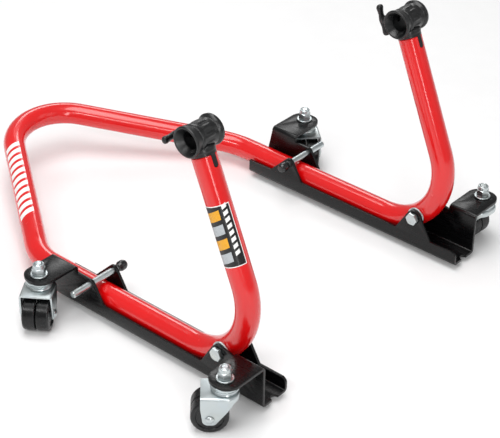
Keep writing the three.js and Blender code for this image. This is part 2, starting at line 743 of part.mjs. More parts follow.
/** One whole castor, its fork trailing the way it stands. */
function castor({ name, end, side, heading }) {
  const part = (suffix) => `castor_${name}_${suffix}`;
  const wheelAt = (suffix, sign) =>
    group(TRAIL, (sign * WHEEL_GAP) / 2, AXLE_HEIGHT, [piece(part(suffix), wheel(), "wheel_plastic")], {
      z: sign > 0 ? 0 : Math.PI,
    });
  const swivelled = group(
    0,
    0,
    0,
    [
      piece(part("fork"), fork(), "zinc"),
      group(TRAIL, 0, AXLE_HEIGHT, [piece(part("axle"), axle(), "zinc")]),
      wheelAt("wheel_a", 1),
      wheelAt("wheel_b", -1),
    ],
    { z: THREE.MathUtils.degToRad(heading) },
  );
  return group(PLATE_CENTRE[end], side * KINGPIN_Y, 0, [
    piece(part("kingpin"), kingpin(), "zinc"),
    piece(part("nut"), kingpinNut(), "zinc"),
    piece(part("washer"), kingpinWasher(), "zinc"),
    piece(part("raceway"), raceway(), "zinc"),
    swivelled,
  ]);
}

/** Head and wing screw on top of one upright. */
function headSet(side) {
  const name = side > 0 ? "left" : "right";
  const turn = THREE.MathUtils.degToRad(WING_TURN[name]);
  const top = group(0, 0, UPRIGHT_LENGTH, [
    piece(`head_${name}`, head(), "black_plastic"),
    group(0, 0, HEAD_HEIGHT + WING_RISE, [piece(`wing_screw_${name}`, wingScrew(), "black_plastic")], { x: turn }),
  ]);
  return group(HEEL_X, side * RAIL_Y, RAIL_HEIGHT, [top], { y: LEAN });
}

/** Centres a group over its footprint, its lowest point left on the floor. */
function centred(children) {
  const stand = new THREE.Group();
  stand.add(...children);
  stand.updateMatrixWorld(true);
  const middle = new THREE.Box3().setFromObject(stand, true).getCenter(new THREE.Vector3());
  stand.position.set(-middle.x, -middle.y, 0);
  const outer = new THREE.Group();
  outer.add(stand);
  return outer;
}

const left = leftChannel();
const mirrored = geometryOf(left).scale(1, -1, 1);

export default centred([
  piece("lift_frame_tube", frameTube(), "red_paint"),
  piece("channel_left", left, "black_paint"),
  piece("channel_right", solid(mirrored), "black_paint"),
  ...pivotSet(1),
  ...pivotSet(-1),
  lockSet(1),
  lockSet(-1),
  headSet(1),
  headSet(-1),
  ...CASTORS.map(castor),
]);
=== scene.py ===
"""Paddock stand: shapes, finishes, floor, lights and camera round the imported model.

Shapes are drawn in millimetres, each about its own part, and placed in the frame in metres.
"""

import json
import math

import bmesh
import bpy
from bpy.props import BoolProperty, FloatProperty, FloatVectorProperty, PointerProperty
from mathutils import Matrix, Vector


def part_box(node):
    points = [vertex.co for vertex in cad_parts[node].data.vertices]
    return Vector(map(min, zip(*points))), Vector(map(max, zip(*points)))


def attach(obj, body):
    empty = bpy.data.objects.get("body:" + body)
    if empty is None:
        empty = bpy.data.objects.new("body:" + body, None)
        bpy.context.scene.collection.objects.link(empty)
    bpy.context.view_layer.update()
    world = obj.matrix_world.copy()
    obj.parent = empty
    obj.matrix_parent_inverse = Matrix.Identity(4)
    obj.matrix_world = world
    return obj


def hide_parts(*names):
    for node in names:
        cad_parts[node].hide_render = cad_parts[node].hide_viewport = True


bl_info = {
    "name": "Paddock stand",
    "version": (1, 0, 0),
    "blender": (4, 5, 0),
    "location": "3D View > Sidebar > Stand",
    "description": "Motorcycle paddock stand with a tilting tube frame on four twin-wheel castors",
    "category": "Add Mesh",
}

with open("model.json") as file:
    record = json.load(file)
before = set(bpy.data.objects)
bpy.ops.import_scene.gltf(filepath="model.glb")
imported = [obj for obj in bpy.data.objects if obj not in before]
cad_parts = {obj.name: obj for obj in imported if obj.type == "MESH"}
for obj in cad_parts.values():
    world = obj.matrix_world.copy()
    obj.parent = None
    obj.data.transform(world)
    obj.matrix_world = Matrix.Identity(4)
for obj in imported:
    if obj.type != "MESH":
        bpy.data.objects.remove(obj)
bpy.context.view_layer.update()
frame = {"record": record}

MM = 0.001
SIDES = {"left": 1, "right": -1}
CASTORS = ("front_left", "rear_left", "front_right", "rear_right")
ROUND_SIDES = 72  # round a turned piece, a multiple of 6 so that hexagons keep their corners
TUBE_SIDES = 64
CORNER_STEP = math.radians(9)
BEND_STEP = math.radians(3)
CREASE = math.radians(34)


# Sizes that several pieces share, in millimetres

BOLT_HOLE = 10.8
NUT_FLATS = 17  # across the flats of an M10 nut or bolt head
AXLE_HOLE = 8.8
WING_HOLE = 8.8
WING_RISE = 3  # of the wing screw over the barrel's axis
STEM_LENGTH = 60  # of a head's stem inside the tube
PAST = 40  # how far a cutting tool runs past what it cuts


# Places in the frame, in metres

JOINTS = {joint["name"]: joint for joint in frame["record"]["behaviour"]["joints"]}


def joint_place(name):
    """Where a joint's axis stands, from the record."""
    return Vector(JOINTS[name]["pos_m"])


def box_mm(node):
    """The low and high corners of a node's box, in millimetres."""
    return [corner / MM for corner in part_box(node)]


def heights(node):
    """The bottom and top of a node's box, in millimetres."""
    return [corner.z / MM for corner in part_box(node)]


def middle(node):
    """The middle of a node's box."""
    low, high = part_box(node)
    return (low + high) / 2


TILT = joint_place("lift")
UPRIGHT = Vector(JOINTS["head_left_lift_off"]["axis"]).normalized()
UPRIGHT_ACROSS = Vector(JOINTS["wing_screw_left_turn"]["axis"]).normalized()
MID_Y = (joint_place("wing_screw_left_turn").y + joint_place("wing_screw_right_turn").y) / 2
RAIL_Y = (joint_place("wing_screw_left_turn").y - joint_place("wing_screw_right_turn").y) / 2
CHANNEL_LOW, CHANNEL_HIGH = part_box("channel_left")


# Colour

def linear(code):
    """A linear colour with alpha from an sRGB hex value."""
    parts = [int(code[i : i + 2], 16) / 255 for i in (1, 3, 5)]
    return (*[p / 12.92 if p <= 0.04045 else ((p + 0.055) / 1.055) ** 2.4 for p in parts], 1.0)


def length(name, description, metres):
    """A size that a user may change."""
    return FloatProperty(name=name, description=description, default=metres, unit="LENGTH", precision=4)


def tint(name, description, code):
    """A colour that a user may change."""
    return FloatVectorProperty(
        name=name, description=description, default=linear(code), size=4, subtype="COLOR", min=0, max=1
    )


class StandTubeSizes(bpy.types.PropertyGroup):
    """Sizes of the bent tube frame."""

    diameter: length("Tube diameter", "Outside diameter of the frame tube", 0.034)
    wall: length("Tube wall", "Wall thickness of the frame tube", 0.0025)
    upright: length("Upright length", "From the heel corner to the open end", 0.326)
    rail: length("Rail length", "From the heel corner to the start of the handle", 0.4448)
    heel_bend: length("Heel bend", "Bend radius between rail and upright", 0.099)
    handle_bend: length("Handle bend", "Bend radius of the handle's three bends", 0.087)
    handle_rise: length("Handle rise", "Height of the unbent apex over the rails", 0.054)
    splay: FloatProperty(
        name="Handle splay",
        description="Angle of each handle arm inwards",
        default=math.radians(35.25),
        subtype="ANGLE",
    )
    slot_depth: length("Slot depth", "Depth of the key slot in each open end", 0.0176)
    slot_width: length("Slot width", "Width of the key slot", 0.0078)


class StandChannelSizes(bpy.types.PropertyGroup):
    """Sizes of the folded side channels."""

    sheet: length("Sheet", "Thickness of the folded sheet", 0.004)
    clearance: length("Ground clearance", "Height of the channel floor's underside", 0.0082)
    wall: length("Low wall", "Height of the plain walls", 0.0218)
    fold: length("Fold radius", "Outside radius of the folds", 0.006)
    plate_top: length("Plate height", "Top face of the castor plates", 0.074)
    plate_width: length("Plate width", "Castor plate, along the channel", 0.046)
    edge: length("Edge rounding", "Softening that the coating gives each cut edge", 0.0005)


class StandCastorSizes(bpy.types.PropertyGroup):
    """Sizes of the castors."""

    wheel: length("Wheel diameter", "Diameter of each wheel", 0.05)
    width: length("Wheel width", "Width of each wheel", 0.018)
    gap: length("Wheel gap", "Gap between the twin wheels", 0.002)
    fork_top: length("Fork height", "Top face of the fork", 0.0585)
    sheet: length("Fork sheet", "Thickness of the pressed fork", 0.0025)


class StandHeadSizes(bpy.types.PropertyGroup):
    """Sizes of the lifting heads."""

    bore: length("Bore", "Bore that takes the motorcycle's spindle or spools", 0.024)
    body: length("Body diameter", "Diameter of the barrel's waist", 0.036)
    mouth: length("Mouth diameter", "Diameter of the flared end", 0.043)
    flange: length("Flange diameter", "Diameter of the rim at the far end", 0.0425)
    barrel: length("Barrel length", "Length of the barrel", 0.051)
    shift: length("Barrel shift", "Barrel's middle from the upright, towards the mouth", -0.0025)
    height: length("Barrel height", "Barrel axis above the open end of the tube", 0.024)
    wing_span: length("Wing span", "Width of the clamping screw's wings", 0.046)


class StandFinishes(bpy.types.PropertyGroup):
    """Colours of the finishes."""

    red: tint("Frame red", "Gloss powder coat of the tube frame", "#da070a")
    black: tint("Channel black", "Semi-gloss powder coat of the channels", "#050506")
    zinc: tint("Zinc", "Bright zinc plate", "#c4cccf")
    nylon: tint("Nylon", "Moulded nylon of the lifting heads", "#0a0b0c")
    phenolic: tint("Knob black", "Gloss black of the pin knobs", "#08080a")
    wheel: tint("Wheel black", "Moulded wheels", "#090a0b")
    decals: BoolProperty(name="Decals", description="Stripes and label on the frame", default=True)


# Outlines and profiles

def rounded(corners, closed=True):
    """Points of an outline or profile. A corner given as x, y, radius is rounded off."""
    points = []
    for i, corner in enumerate(corners):
        here = Vector(corner[:2])
        radius = corner[2] if len(corner) > 2 else 0
        if radius == 0 or (not closed and i in (0, len(corners) - 1)):
            points.append(here)
            continue
        back = (Vector(corners[i - 1][:2]) - here).normalized()
        on = (Vector(corners[(i + 1) % len(corners)][:2]) - here).normalized()
        half = back.angle(on) / 2
        centre = here + (back + on).normalized() * (radius / math.sin(half))
        start = here + back * (radius / math.tan(half)) - centre
        end = here + on * (radius / math.tan(half)) - centre
        turn = math.atan2(start.cross(end), start.dot(end))
        steps = max(2, math.ceil(abs(turn) / CORNER_STEP))
        for k in range(steps + 1):
            points.append(centre + Matrix.Rotation(turn * k / steps, 2) @ start)
    return points


def ear_corner(rear_foot, front_foot, centre, radius):
    """The rounded corner of an ear whose two edges touch its round end."""
    normals = []
    for foot, side in ((rear_foot, -1), (front_foot, 1)):
        arm = Vector(foot) - Vector(centre)
        angle = math.atan2(arm.y, arm.x) + side * math.acos(radius / arm.length)
        normals.append((math.cos(angle), math.sin(angle)))
    (a, b), (c, d) = normals
    scale = radius / (a * d - b * c)
    return (centre[0] + (d - b) * scale, centre[1] + (a - c) * scale, radius)


def hexagon_radius(across_flats, angle):
    """Distance from a hexagon's middle to its side, in a direction."""
    third = math.pi / 3
    return across_flats / 2 / math.cos(angle % third - third / 2)


def chamfered_hexagon(across_flats, low, high):
    """Profile entries of a hexagonal block whose corners are turned off at 30 degrees."""
    inner = across_flats / 2 * 0.97
    slope = math.tan(math.radians(30))

    def fallen(angle):
        return max(0, hexagon_radius(across_flats, angle) - inner) * slope

    return [
        lambda a: (hexagon_radius(across_flats, a), low),
        lambda a: (hexagon_radius(across_flats, a), high - fallen(a)),
        (inner, high),
    ]


def nut_seat(low):
    """A nut's lower edge, turned back most of the way to its flats."""
    half = NUT_FLATS / 2
    return lambda a: (half + (hexagon_radius(NUT_FLATS, a) - half) * 0.3, low)


# Shapes

def turned(profile, closed=False, sides=ROUND_SIDES):
    """A profile of (radius, height) points, or functions of the angle, turned about Z."""
    shape = bmesh.new()
    rings = []
    for entry in profile:
        if not callable(entry) and entry[0] < 1e-6:
            rings.append([shape.verts.new((0, 0, entry[1]))])
            continue
        ring = []
        for k in range(sides):
            angle = 2 * math.pi * k / sides
            radius, height = entry(angle) if callable(entry) else entry
            ring.append(shape.verts.new((radius * math.cos(angle), radius * math.sin(angle), height)))
        rings.append(ring)
    if closed:
        rings.append(rings[0])
    skin(shape, rings)
    return shape


def skin(shape, rings):
    """Faces between rings of points. A ring of one point closes an end."""
    for low, high in zip(rings, rings[1:]):
        count = max(len(low), len(high))
        for k in range(count):
            after = (k + 1) % count
            corners = [low[k % len(low)], low[after % len(low)], high[after % len(high)], high[k % len(high)]]
            shape.faces.new(list(dict.fromkeys(corners)))


def extruded(axis, outline, low, high):
    """An outline drawn in the two other axes, in order, with a thickness along X, Y or Z."""
    order = {"x": (2, 0, 1), "y": (0, 2, 1), "z": (0, 1, 2)}[axis]
    shape = bmesh.new()
    ends = []
    for depth in (low, high):
        points = [(x, y, depth) for x, y in outline]
        ends.append([shape.verts.new([point[i] for i in order]) for point in points])
    shape.faces.new(ends[0])
    shape.faces.new(ends[1])
    skin(shape, ends)
    bmesh.ops.recalc_face_normals(shape, faces=shape.faces)
    return shape


def rod(axis, diameter, low, high, at, sides=ROUND_SIDES):
    """A plain round bar for cutting holes, along X, Y or Z."""
    angles = [2 * math.pi * (k + 0.5) / sides for k in range(sides)]
    outline = [(diameter / 2 * math.cos(a), diameter / 2 * math.sin(a)) for a in angles]
    bar = extruded(axis, outline, low, high)
    bar.transform(Matrix.Translation(at))
    return bar


def block(low, high):
    """A plain box, for cutting."""
    corners = [(low[0], low[1]), (high[0], low[1]), (high[0], high[1]), (low[0], high[1])]
    return extruded("z", corners, low[2], high[2])


def swept(stations, radius_at, sides=TUBE_SIDES):
    """Rings of points round a path of (point, tangent) stations, with a radius for each."""
    rings = []
    tangent = stations[0][1]
    normal = tangent.orthogonal().normalized()
    for i, (point, along) in enumerate(stations):
        normal = tangent.rotation_difference(along) @ normal
        tangent = along
        second = along.cross(normal)
        radius = radius_at(i)
        spokes = [2 * math.pi * k / sides for k in range(sides)]
        rings.append([point + (normal * math.cos(a) + second * math.sin(a)) * radius for a in spokes])
    return rings


def lofted(rings):
    """A solid through closed rings of points, its two end rings shut by a fan."""
    shape = bmesh.new()
    rows = [[shape.verts.new(point) for point in ring] for ring in rings]
    ends = [[shape.verts.new(sum(ring, Vector()) / len(ring))] for ring in (rings[0], rings[-1])]
    skin(shape, [ends[0], *rows, ends[1]])
    return shape


def bent_path(corners, radii):
    """Stations along straight runs joined by bends of the given radii."""
    stations = []
    last = len(corners) - 1
    for i, corner in enumerate(corners):
        if i in (0, last):
            along = corners[1] - corner if i == 0 else corner - corners[i - 1]
            stations.append((corner, along.normalized()))
            continue
        back = (corners[i - 1] - corner).normalized()
        on = (corners[i + 1] - corner).normalized()
        half = back.angle(on) / 2
        centre = corner + (back + on).normalized() * (radii[i - 1] / math.sin(half))
        start = corner + back * (radii[i - 1] / math.tan(half)) - centre
        turn = math.pi - 2 * half
        steps = math.ceil(turn / BEND_STEP)
        for k in range(steps + 1):
            spin = Matrix.Rotation(turn * k / steps, 3, on.cross(back))
            stations.append((centre + spin @ start, -(spin @ back)))
    return stations


def as_object(name, shape):
    """A linked object from a shape, which is used up."""
    bmesh.ops.recalc_face_normals(shape, faces=shape.faces)
    mesh = bpy.data.meshes.new(name)
    shape.to_mesh(mesh)
    shape.free()
    made = bpy.data.objects.new(name, mesh)
    bpy.context.scene.collection.objects.link(made)
    return made


def worked(first, joined=(), cut=(), common=()):
    """The first shape with others joined on, cut out of it, or kept in common with it."""
    base = as_object("work", first)
    tools = []
    for shapes, operation in ((joined, "UNION"), (common, "INTERSECT"), (cut, "DIFFERENCE")):
        for shape in shapes:
            tool = as_object("tool", shape)
            step = base.modifiers.new("step", "BOOLEAN")
            step.operation = operation
            step.solver = "MANIFOLD"
            step.object = tool
            tools.append(tool)
    graph = bpy.context.evaluated_depsgraph_get()
    mesh = bpy.data.meshes.new_from_object(base.evaluated_get(graph))
    if not mesh.polygons:
        raise RuntimeError("a cut or join left nothing")
    result = bmesh.new()
    result.from_mesh(mesh)
    bpy.data.meshes.remove(mesh)
    for spent in (base, *tools):
        data = spent.data
        bpy.data.objects.remove(spent)
        bpy.data.meshes.remove(data)
    bmesh.ops.remove_doubles(result, verts=result.verts, dist=1e-4)
    return result


def softened(shape, width, segments=2):
    """Rounds the sharp edges of a worked shape a little."""
    bmesh.ops.dissolve_limit(shape, angle_limit=math.radians(0.5), verts=shape.verts, edges=shape.edges)
    sharp = [e for e in shape.edges if len(e.link_faces) == 2 and e.calc_face_angle() > CREASE]
    bmesh.ops.bevel(
        shape, geom=sharp, offset=width, segments=segments, profile=0.5, affect="EDGES", clamp_overlap=True
    )
    return shape


def add_piece(name, shape, place, coat, body, nodes=()):
    """Puts a shape drawn in millimetres into the frame as a piece of a body."""
    shape.transform(place @ Matrix.Scale(MM, 4))
    piece = as_object(name, shape)
    mesh = piece.data
    mesh.shade_smooth()
    mesh.set_sharp_from_angle(angle=CREASE)
    mesh.materials.append(finish(coat))
    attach(piece, body)
    if nodes:
        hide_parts(*nodes)


def in_frame(origin, x_axis=Vector((1, 0, 0)), z_axis=Vector((0, 0, 1))):
    """Where a part's own X and Z axes and origin come to lie in the frame."""
    y_axis = z_axis.cross(x_axis).normalized()
    turn = Matrix((x_axis, y_axis, z_axis)).transposed()
    return Matrix.Translation(origin) @ turn.to_4x4()


def millimetres(metres):
    """Metres in millimetres."""
    return metres / MM


# Finishes

ZINC = "bright_zinc_plate"


def add_node(tree, kind, settings=None, inputs=None):
    """Adds a node. An input is a value, or the socket that feeds it."""
    node = tree.nodes.new(kind)
    for key, value in (settings or {}).items():
        setattr(node, key, value)
    for key, value in (inputs or {}).items():
        if isinstance(value, bpy.types.NodeSocket):
            tree.links.new(value, node.inputs[key])
        else:
            node.inputs[key].default_value = value
    return node


def new_finish(name):
    """An empty material with its shader, its tree and the object's own coordinates."""
    made = bpy.data.materials.new(name)
    made.use_nodes = True
    tree = made.node_tree
    tree.nodes.clear()
    shader = add_node(tree, "ShaderNodeBsdfPrincipled")
    out = add_node(tree, "ShaderNodeOutputMaterial", inputs={"Surface": shader.outputs["BSDF"]})
    out.location = (300, 0)
    place = add_node(tree, "ShaderNodeTexCoord").outputs["Object"]
    return made, tree, shader, place


def feed(tree, shader, colours, rough, bump=None):
    """Links a finish's colour, roughness and relief to its shader."""
    tree.links.new(colours.outputs["Result"], shader.inputs["Base Color"])
    tree.links.new(rough.outputs["Result"], shader.inputs["Roughness"])
    if bump:
        tree.links.new(bump.outputs["Normal"], shader.inputs["Normal"])


def shade(colour, factor):
    """A colour made lighter or darker."""
    return (*[min(1, c * factor) for c in colour[:3]], 1)


def waves(wave_mm):
    """Noise scale for waves of a length in millimetres, in a space measured in metres."""
    return 1 / (wave_mm * MM)


def red_powder_coat(colour):
    """Polyester powder coat, baked on steel tube. It levels to a deep gloss with a faint orange
    peel, a little darker where it lies thick and paler where it has been handled."""
    made, tree, shader, place = new_finish("red_powder_coat")
    patches = add_node(
        tree,
        "ShaderNodeTexNoise",
        inputs={"Vector": place, "Scale": waves(90), "Detail": 3, "Roughness": 0.5},
    ).outputs["Fac"]
    peel = add_node(
        tree,
        "ShaderNodeTexNoise",
        inputs={"Vector": place, "Scale": waves(3.2), "Detail": 2, "Roughness": 0.4},
    ).outputs["Fac"]
    rubs = add_node(
        tree,
        "ShaderNodeTexNoise",
        inputs={"Vector": place, "Scale": waves(14), "Detail": 6, "Roughness": 0.65},
    ).outputs["Fac"]
    colours = add_node(
        tree,
        "ShaderNodeMix",
        {"data_type": "RGBA"},
        {"Factor": patches, "A": shade(colour, 0.88), "B": shade(colour, 1.12)},
    )
    rough = add_node(
        tree,
        "ShaderNodeMapRange",
        inputs={"Value": rubs, "From Min": 0.35, "From Max": 0.75, "To Min": 0.16, "To Max": 0.3},
    )
    bump = add_node(
        tree, "ShaderNodeBump", inputs={"Height": peel, "Strength": 0.12, "Distance": 0.15 * MM}
    )
    feed(tree, shader, colours, rough, bump)
    shader.inputs["IOR"].default_value = 1.52
    shader.inputs["Coat Weight"].default_value = 0.6
    shader.inputs["Coat Roughness"].default_value = 0.06
    return made


def black_powder_coat(colour):
    """Black powder coat on folded sheet. Semi-gloss, with a fine orange peel, and worn to a paler
    grey film in thin scuffs along the sheet."""
    made, tree, shader, place = new_finish("black_powder_coat")
    peel = add_node(
        tree,
        "ShaderNodeTexNoise",
        inputs={"Vector": place, "Scale": waves(2.2), "Detail": 2, "Roughness": 0.5},
    ).outputs["Fac"]
    stretched = add_node(
        tree, "ShaderNodeMapping", inputs={"Vector": place, "Scale": (0.25, 1.0, 1.4)}
    ).outputs["Vector"]
    scuffs = add_node(
        tree,
        "ShaderNodeTexNoise",
        inputs={"Vector": stretched, "Scale": waves(7), "Detail": 8, "Roughness": 0.7},
    ).outputs["Fac"]
    worn = add_node(
        tree,
        "ShaderNodeMapRange",
        inputs={"Value": scuffs, "From Min": 0.56, "From Max": 0.78, "To Min": 0, "To Max": 0.55},
    )
    colours = add_node(
        tree,
        "ShaderNodeMix",
        {"data_type": "RGBA"},
        {"Factor": worn.outputs["Result"], "A": colour, "B": linear("#17181a")},
    )
    rough = add_node(
        tree,
        "ShaderNodeMapRange",
        inputs={"Value": scuffs, "From Min": 0.3, "From Max": 0.75, "To Min": 0.2, "To Max": 0.36},
    )
    bump = add_node(
        tree, "ShaderNodeBump", inputs={"Height": peel, "Strength": 0.2, "Distance": 0.12 * MM}
    )
    feed(tree, shader, colours, rough, bump)
    shader.inputs["IOR"].default_value = 1.52
    shader.inputs["Specular IOR Level"].default_value = 0.32
    return made


def bright_zinc(colour):
    """Bright zinc electroplate with a clear passivate on pressed and turned steel. Silvery and
    slightly cool, with cloudy patches and a faint yellow and blue bloom."""
    made, tree, shader, place = new_finish("bright_zinc_plate")
    clouds = add_node(
        tree,
        "ShaderNodeTexNoise",
        inputs={"Vector": place, "Scale": waves(12), "Detail": 3, "Roughness": 0.45},
    ).outputs["Fac"]
    bloom = add_node(
        tree,
        "ShaderNodeTexNoise",
        inputs={"Vector": place, "Scale": waves(22), "Detail": 2, "Roughness": 0.4},
    ).outputs["Fac"]
    grain = add_node(
        tree,
        "ShaderNodeTexNoise",
        inputs={"Vector": place, "Scale": waves(0.9), "Detail": 3, "Roughness": 0.6},
    ).outputs["Fac"]
    tints = add_node(
        tree,
        "ShaderNodeMix",
        {"data_type": "RGBA"},
        {"Factor": bloom, "A": linear("#b7c5cd"), "B": linear("#c9c9bf")},
    )
    colours = add_node(
        tree,
        "ShaderNodeMix",
        {"data_type": "RGBA"},
        {"Factor": clouds, "A": tints.outputs["Result"], "B": colour},
    )
    rough = add_node(
        tree,
        "ShaderNodeMapRange",
        inputs={"Value": clouds, "From Min": 0.3, "From Max": 0.7, "To Min": 0.27, "To Max": 0.36},
    )
    bump = add_node(
        tree, "ShaderNodeBump", inputs={"Height": grain, "Strength": 0.1, "Distance": 0.04 * MM}
    )
    feed(tree, shader, colours, rough, bump)
    shader.inputs["Metallic"].default_value = 1.0
    return made


def moulded_plastic(name, colour, rough_low, rough_high, ior, grain_mm, relief):
    """Injection-moulded plastic. Its tool leaves a fine grain, drawn here somewhat coarser than
    the real 0.2 mm so that it shows, and handling polishes it in patches."""
    made, tree, shader, place = new_finish(name)
    grain = add_node(
        tree,
        "ShaderNodeTexNoise",
        inputs={"Vector": place, "Scale": waves(grain_mm), "Detail": 3, "Roughness": 0.6},
    ).outputs["Fac"]
    polish = add_node(
        tree,
        "ShaderNodeTexNoise",
        inputs={"Vector": place, "Scale": waves(12), "Detail": 4, "Roughness": 0.6},
    ).outputs["Fac"]
    colours = add_node(
        tree,
        "ShaderNodeMix",
        {"data_type": "RGBA"},
        {"Factor": polish, "A": shade(colour, 0.75), "B": shade(colour, 1.35)},
    )
    rough = add_node(
        tree,
        "ShaderNodeMapRange",
        inputs={"Value": polish, "From Min": 0.3, "From Max": 0.7, "To Min": rough_low, "To Max": rough_high},
    )
    bump = add_node(
        tree, "ShaderNodeBump", inputs={"Height": grain, "Strength": relief, "Distance": 0.15 * MM}
    )
    feed(tree, shader, colours, rough, bump)
    shader.inputs["IOR"].default_value = ior
    return made


def vinyl_film(name, code):
    """Printed vinyl film under a clear laminate: even colour, a soft gloss, slightly mottled."""
    made, tree, shader, place = new_finish(name)
    mottle = add_node(
        tree,
        "ShaderNodeTexNoise",
        inputs={"Vector": place, "Scale": waves(5), "Detail": 4, "Roughness": 0.6},
    ).outputs["Fac"]
    colours = add_node(
        tree,
        "ShaderNodeMix",
        {"data_type": "RGBA"},
        {"Factor": mottle, "A": shade(linear(code), 0.9), "B": shade(linear(code), 1.06)},
    )
    rough = add_node(
        tree,
        "ShaderNodeMapRange",
        inputs={"Value": mottle, "From Min": 0.3, "From Max": 0.7, "To Min": 0.22, "To Max": 0.34},
    )
    feed(tree, shader, colours, rough)
    shader.inputs["IOR"].default_value = 1.53
    return made


def finish(name):
    """A finish by name, made when first asked for."""
    if name in bpy.data.materials:
        return bpy.data.materials[name]
    colours = bpy.context.scene.stand_finishes
    makers = {
        "red_powder_coat": lambda: red_powder_coat(colours.red),
        "black_powder_coat": lambda: black_powder_coat(colours.black),
        "bright_zinc_plate": lambda: bright_zinc(colours.zinc),
        "moulded_nylon": lambda: moulded_plastic(name, colours.nylon, 0.24, 0.4, 1.53, 0.7, 0.3),
        "gloss_phenolic": lambda: moulded_plastic(name, colours.phenolic, 0.14, 0.26, 1.6, 2.5, 0.08),
        "wheel_polypropylene": lambda: moulded_plastic(name, colours.wheel, 0.22, 0.34, 1.49, 0.8, 0.2),
        "white_vinyl": lambda: vinyl_film(name, "#f4f4f2"),
        "black_vinyl": lambda: vinyl_film(name, "#161415"),
        "grey_vinyl": lambda: vinyl_film(name, "#b4b9bd"),
        "amber_vinyl": lambda: vinyl_film(name, "#e9a51d"),
    }
    return makers[name]()


# The tube frame

def tube_corners():
    """Corners of the tube's unbent axis, in metres, and the bend radius at each inner one."""
    sizes = bpy.context.scene.stand_tube
    above = sizes.upright + bpy.context.scene.stand_head.height + WING_RISE * MM
    ends = []
    for side in SIDES:
        heel = joint_place(f"wing_screw_{side}_turn") - UPRIGHT * above
        ends.append([heel + UPRIGHT * sizes.upright, heel, heel + Vector((sizes.rail, 0, 0))])
    reach = RAIL_Y / math.tan(sizes.splay)
    apex = Vector((ends[0][2].x + reach, MID_Y, ends[0][2].z + sizes.handle_rise))
    corners = [*ends[0], apex, *reversed(ends[1])]
    radii = [sizes.heel_bend, *[sizes.handle_bend] * 3, sizes.heel_bend]
    return corners, radii


def tube_end(side):
    """The middle of an upright's open end, in metres."""
    corners = tube_corners()[0]
    return corners[0] if side == "left" else corners[-1]


class STAND_OT_tube(bpy.types.Operator):
    """Sweep the bent frame tube, with its key slots and bolt holes"""

    bl_idname = "stand.tube"
    bl_label = "Frame tube"

    def execute(self, context):
        sizes = context.scene.stand_tube
        radius = sizes.diameter / 2
        corners, radii = tube_corners()
        stations = bent_path(corners, radii)
        lip = 0.0008
        near = sizes.slot_depth * 2
        first, last = stations[0], stations[-1]
        extra = [lip, near]
        start = [(first[0] + first[1] * step, first[1]) for step in extra]
        ending = [(last[0] - last[1] * step, last[1]) for step in reversed(extra)]
        stations = [first, *start, *stations[1:-1], *ending, last]
        count = len(stations)
        outer = swept(stations, lambda i: radius - (lip if i in (0, count - 1) else 0))
        inner = swept(stations, lambda i: radius - sizes.wall)
        shape = bmesh.new()
        rows = [[shape.verts.new(point) for point in ring] for ring in [*outer, *reversed(inner)]]
        skin(shape, [*rows, rows[0]])
        shape.transform(Matrix.Scale(1 / MM, 4))
        cutters = []
        width = millimetres(sizes.slot_width)
        depth = millimetres(sizes.slot_depth)
        for side in SIDES:
            slot = worked(
                block((-PAST, -width / 2, -depth + width / 2), (0, width / 2, 2)),
                joined=[rod("x", width, -PAST, 0, (0, 0, -depth + width / 2))],
            )
            slot.transform(in_frame(tube_end(side) / MM, UPRIGHT_ACROSS, UPRIGHT))
            cutters.append(slot)
            at = Vector((TILT.x, MID_Y + SIDES[side] * RAIL_Y, TILT.z)) / MM
            cutters.append(rod("y", BOLT_HOLE, -PAST, PAST, at))
        shape = worked(shape, cut=cutters)
        add_piece("frame_tube", shape, Matrix(), "red_powder_coat", "lift_frame", ["lift_frame_tube"])
        return {"FINISHED"}


def tube_patch(shape, base, along, zero, span, around, lift, slant=0.0):
    """Adds a patch that hugs a straight run of tube: `span` in mm along it, `around` in radians."""
    radius = millimetres(bpy.context.scene.stand_tube.diameter) / 2
    second = along.cross(zero)
    steps = max(2, math.ceil(abs(around[1] - around[0]) / math.radians(5)))

    def point(distance, angle, height):
        spoke = zero * math.cos(angle) + second * math.sin(angle)
        return base / MM + along * (distance + slant * radius * angle) + spoke * (radius + height)

    angles = [around[0] + (around[1] - around[0]) * k / steps for k in range(steps + 1)]
    rows = []
    for angle in angles:
        corners = ((span[0], 0.02), (span[1], 0.02), (span[1], lift), (span[0], lift))
        rows.append([shape.verts.new(point(d, angle, h)) for d, h in corners])
    skin(shape, rows)
    shape.faces.new(rows[0])
    shape.faces.new(rows[-1])


# Stripes and label, in millimetres along the tube and out from its surface

STRIPE_COUNT = 11
STRIPE_START = 80
STRIPE_PITCH = 15.6
STRIPE_WIDTH = 9.5
STRIPE_HALF_ANGLE = 0.72  # radians, round the tube
STRIPE_SLANT = 0.5
LABEL_LOW = 178.0
LABEL_HIGH = 262.0
BORDER_WIDTH = 1.2
BAR_COUNT = 4
BAR_PITCH = 19.0
BAR_WIDTH = 13.0
BAR_SLANT = 0.22
DASH_COUNT = 8
DASH_PITCH = 9
DASH_WIDTH = 5.5
DASH_SLANT = 0.4
BORDER_FILM = 0.08
GROUND_FILM = 0.12
PRINT_FILM = 0.16


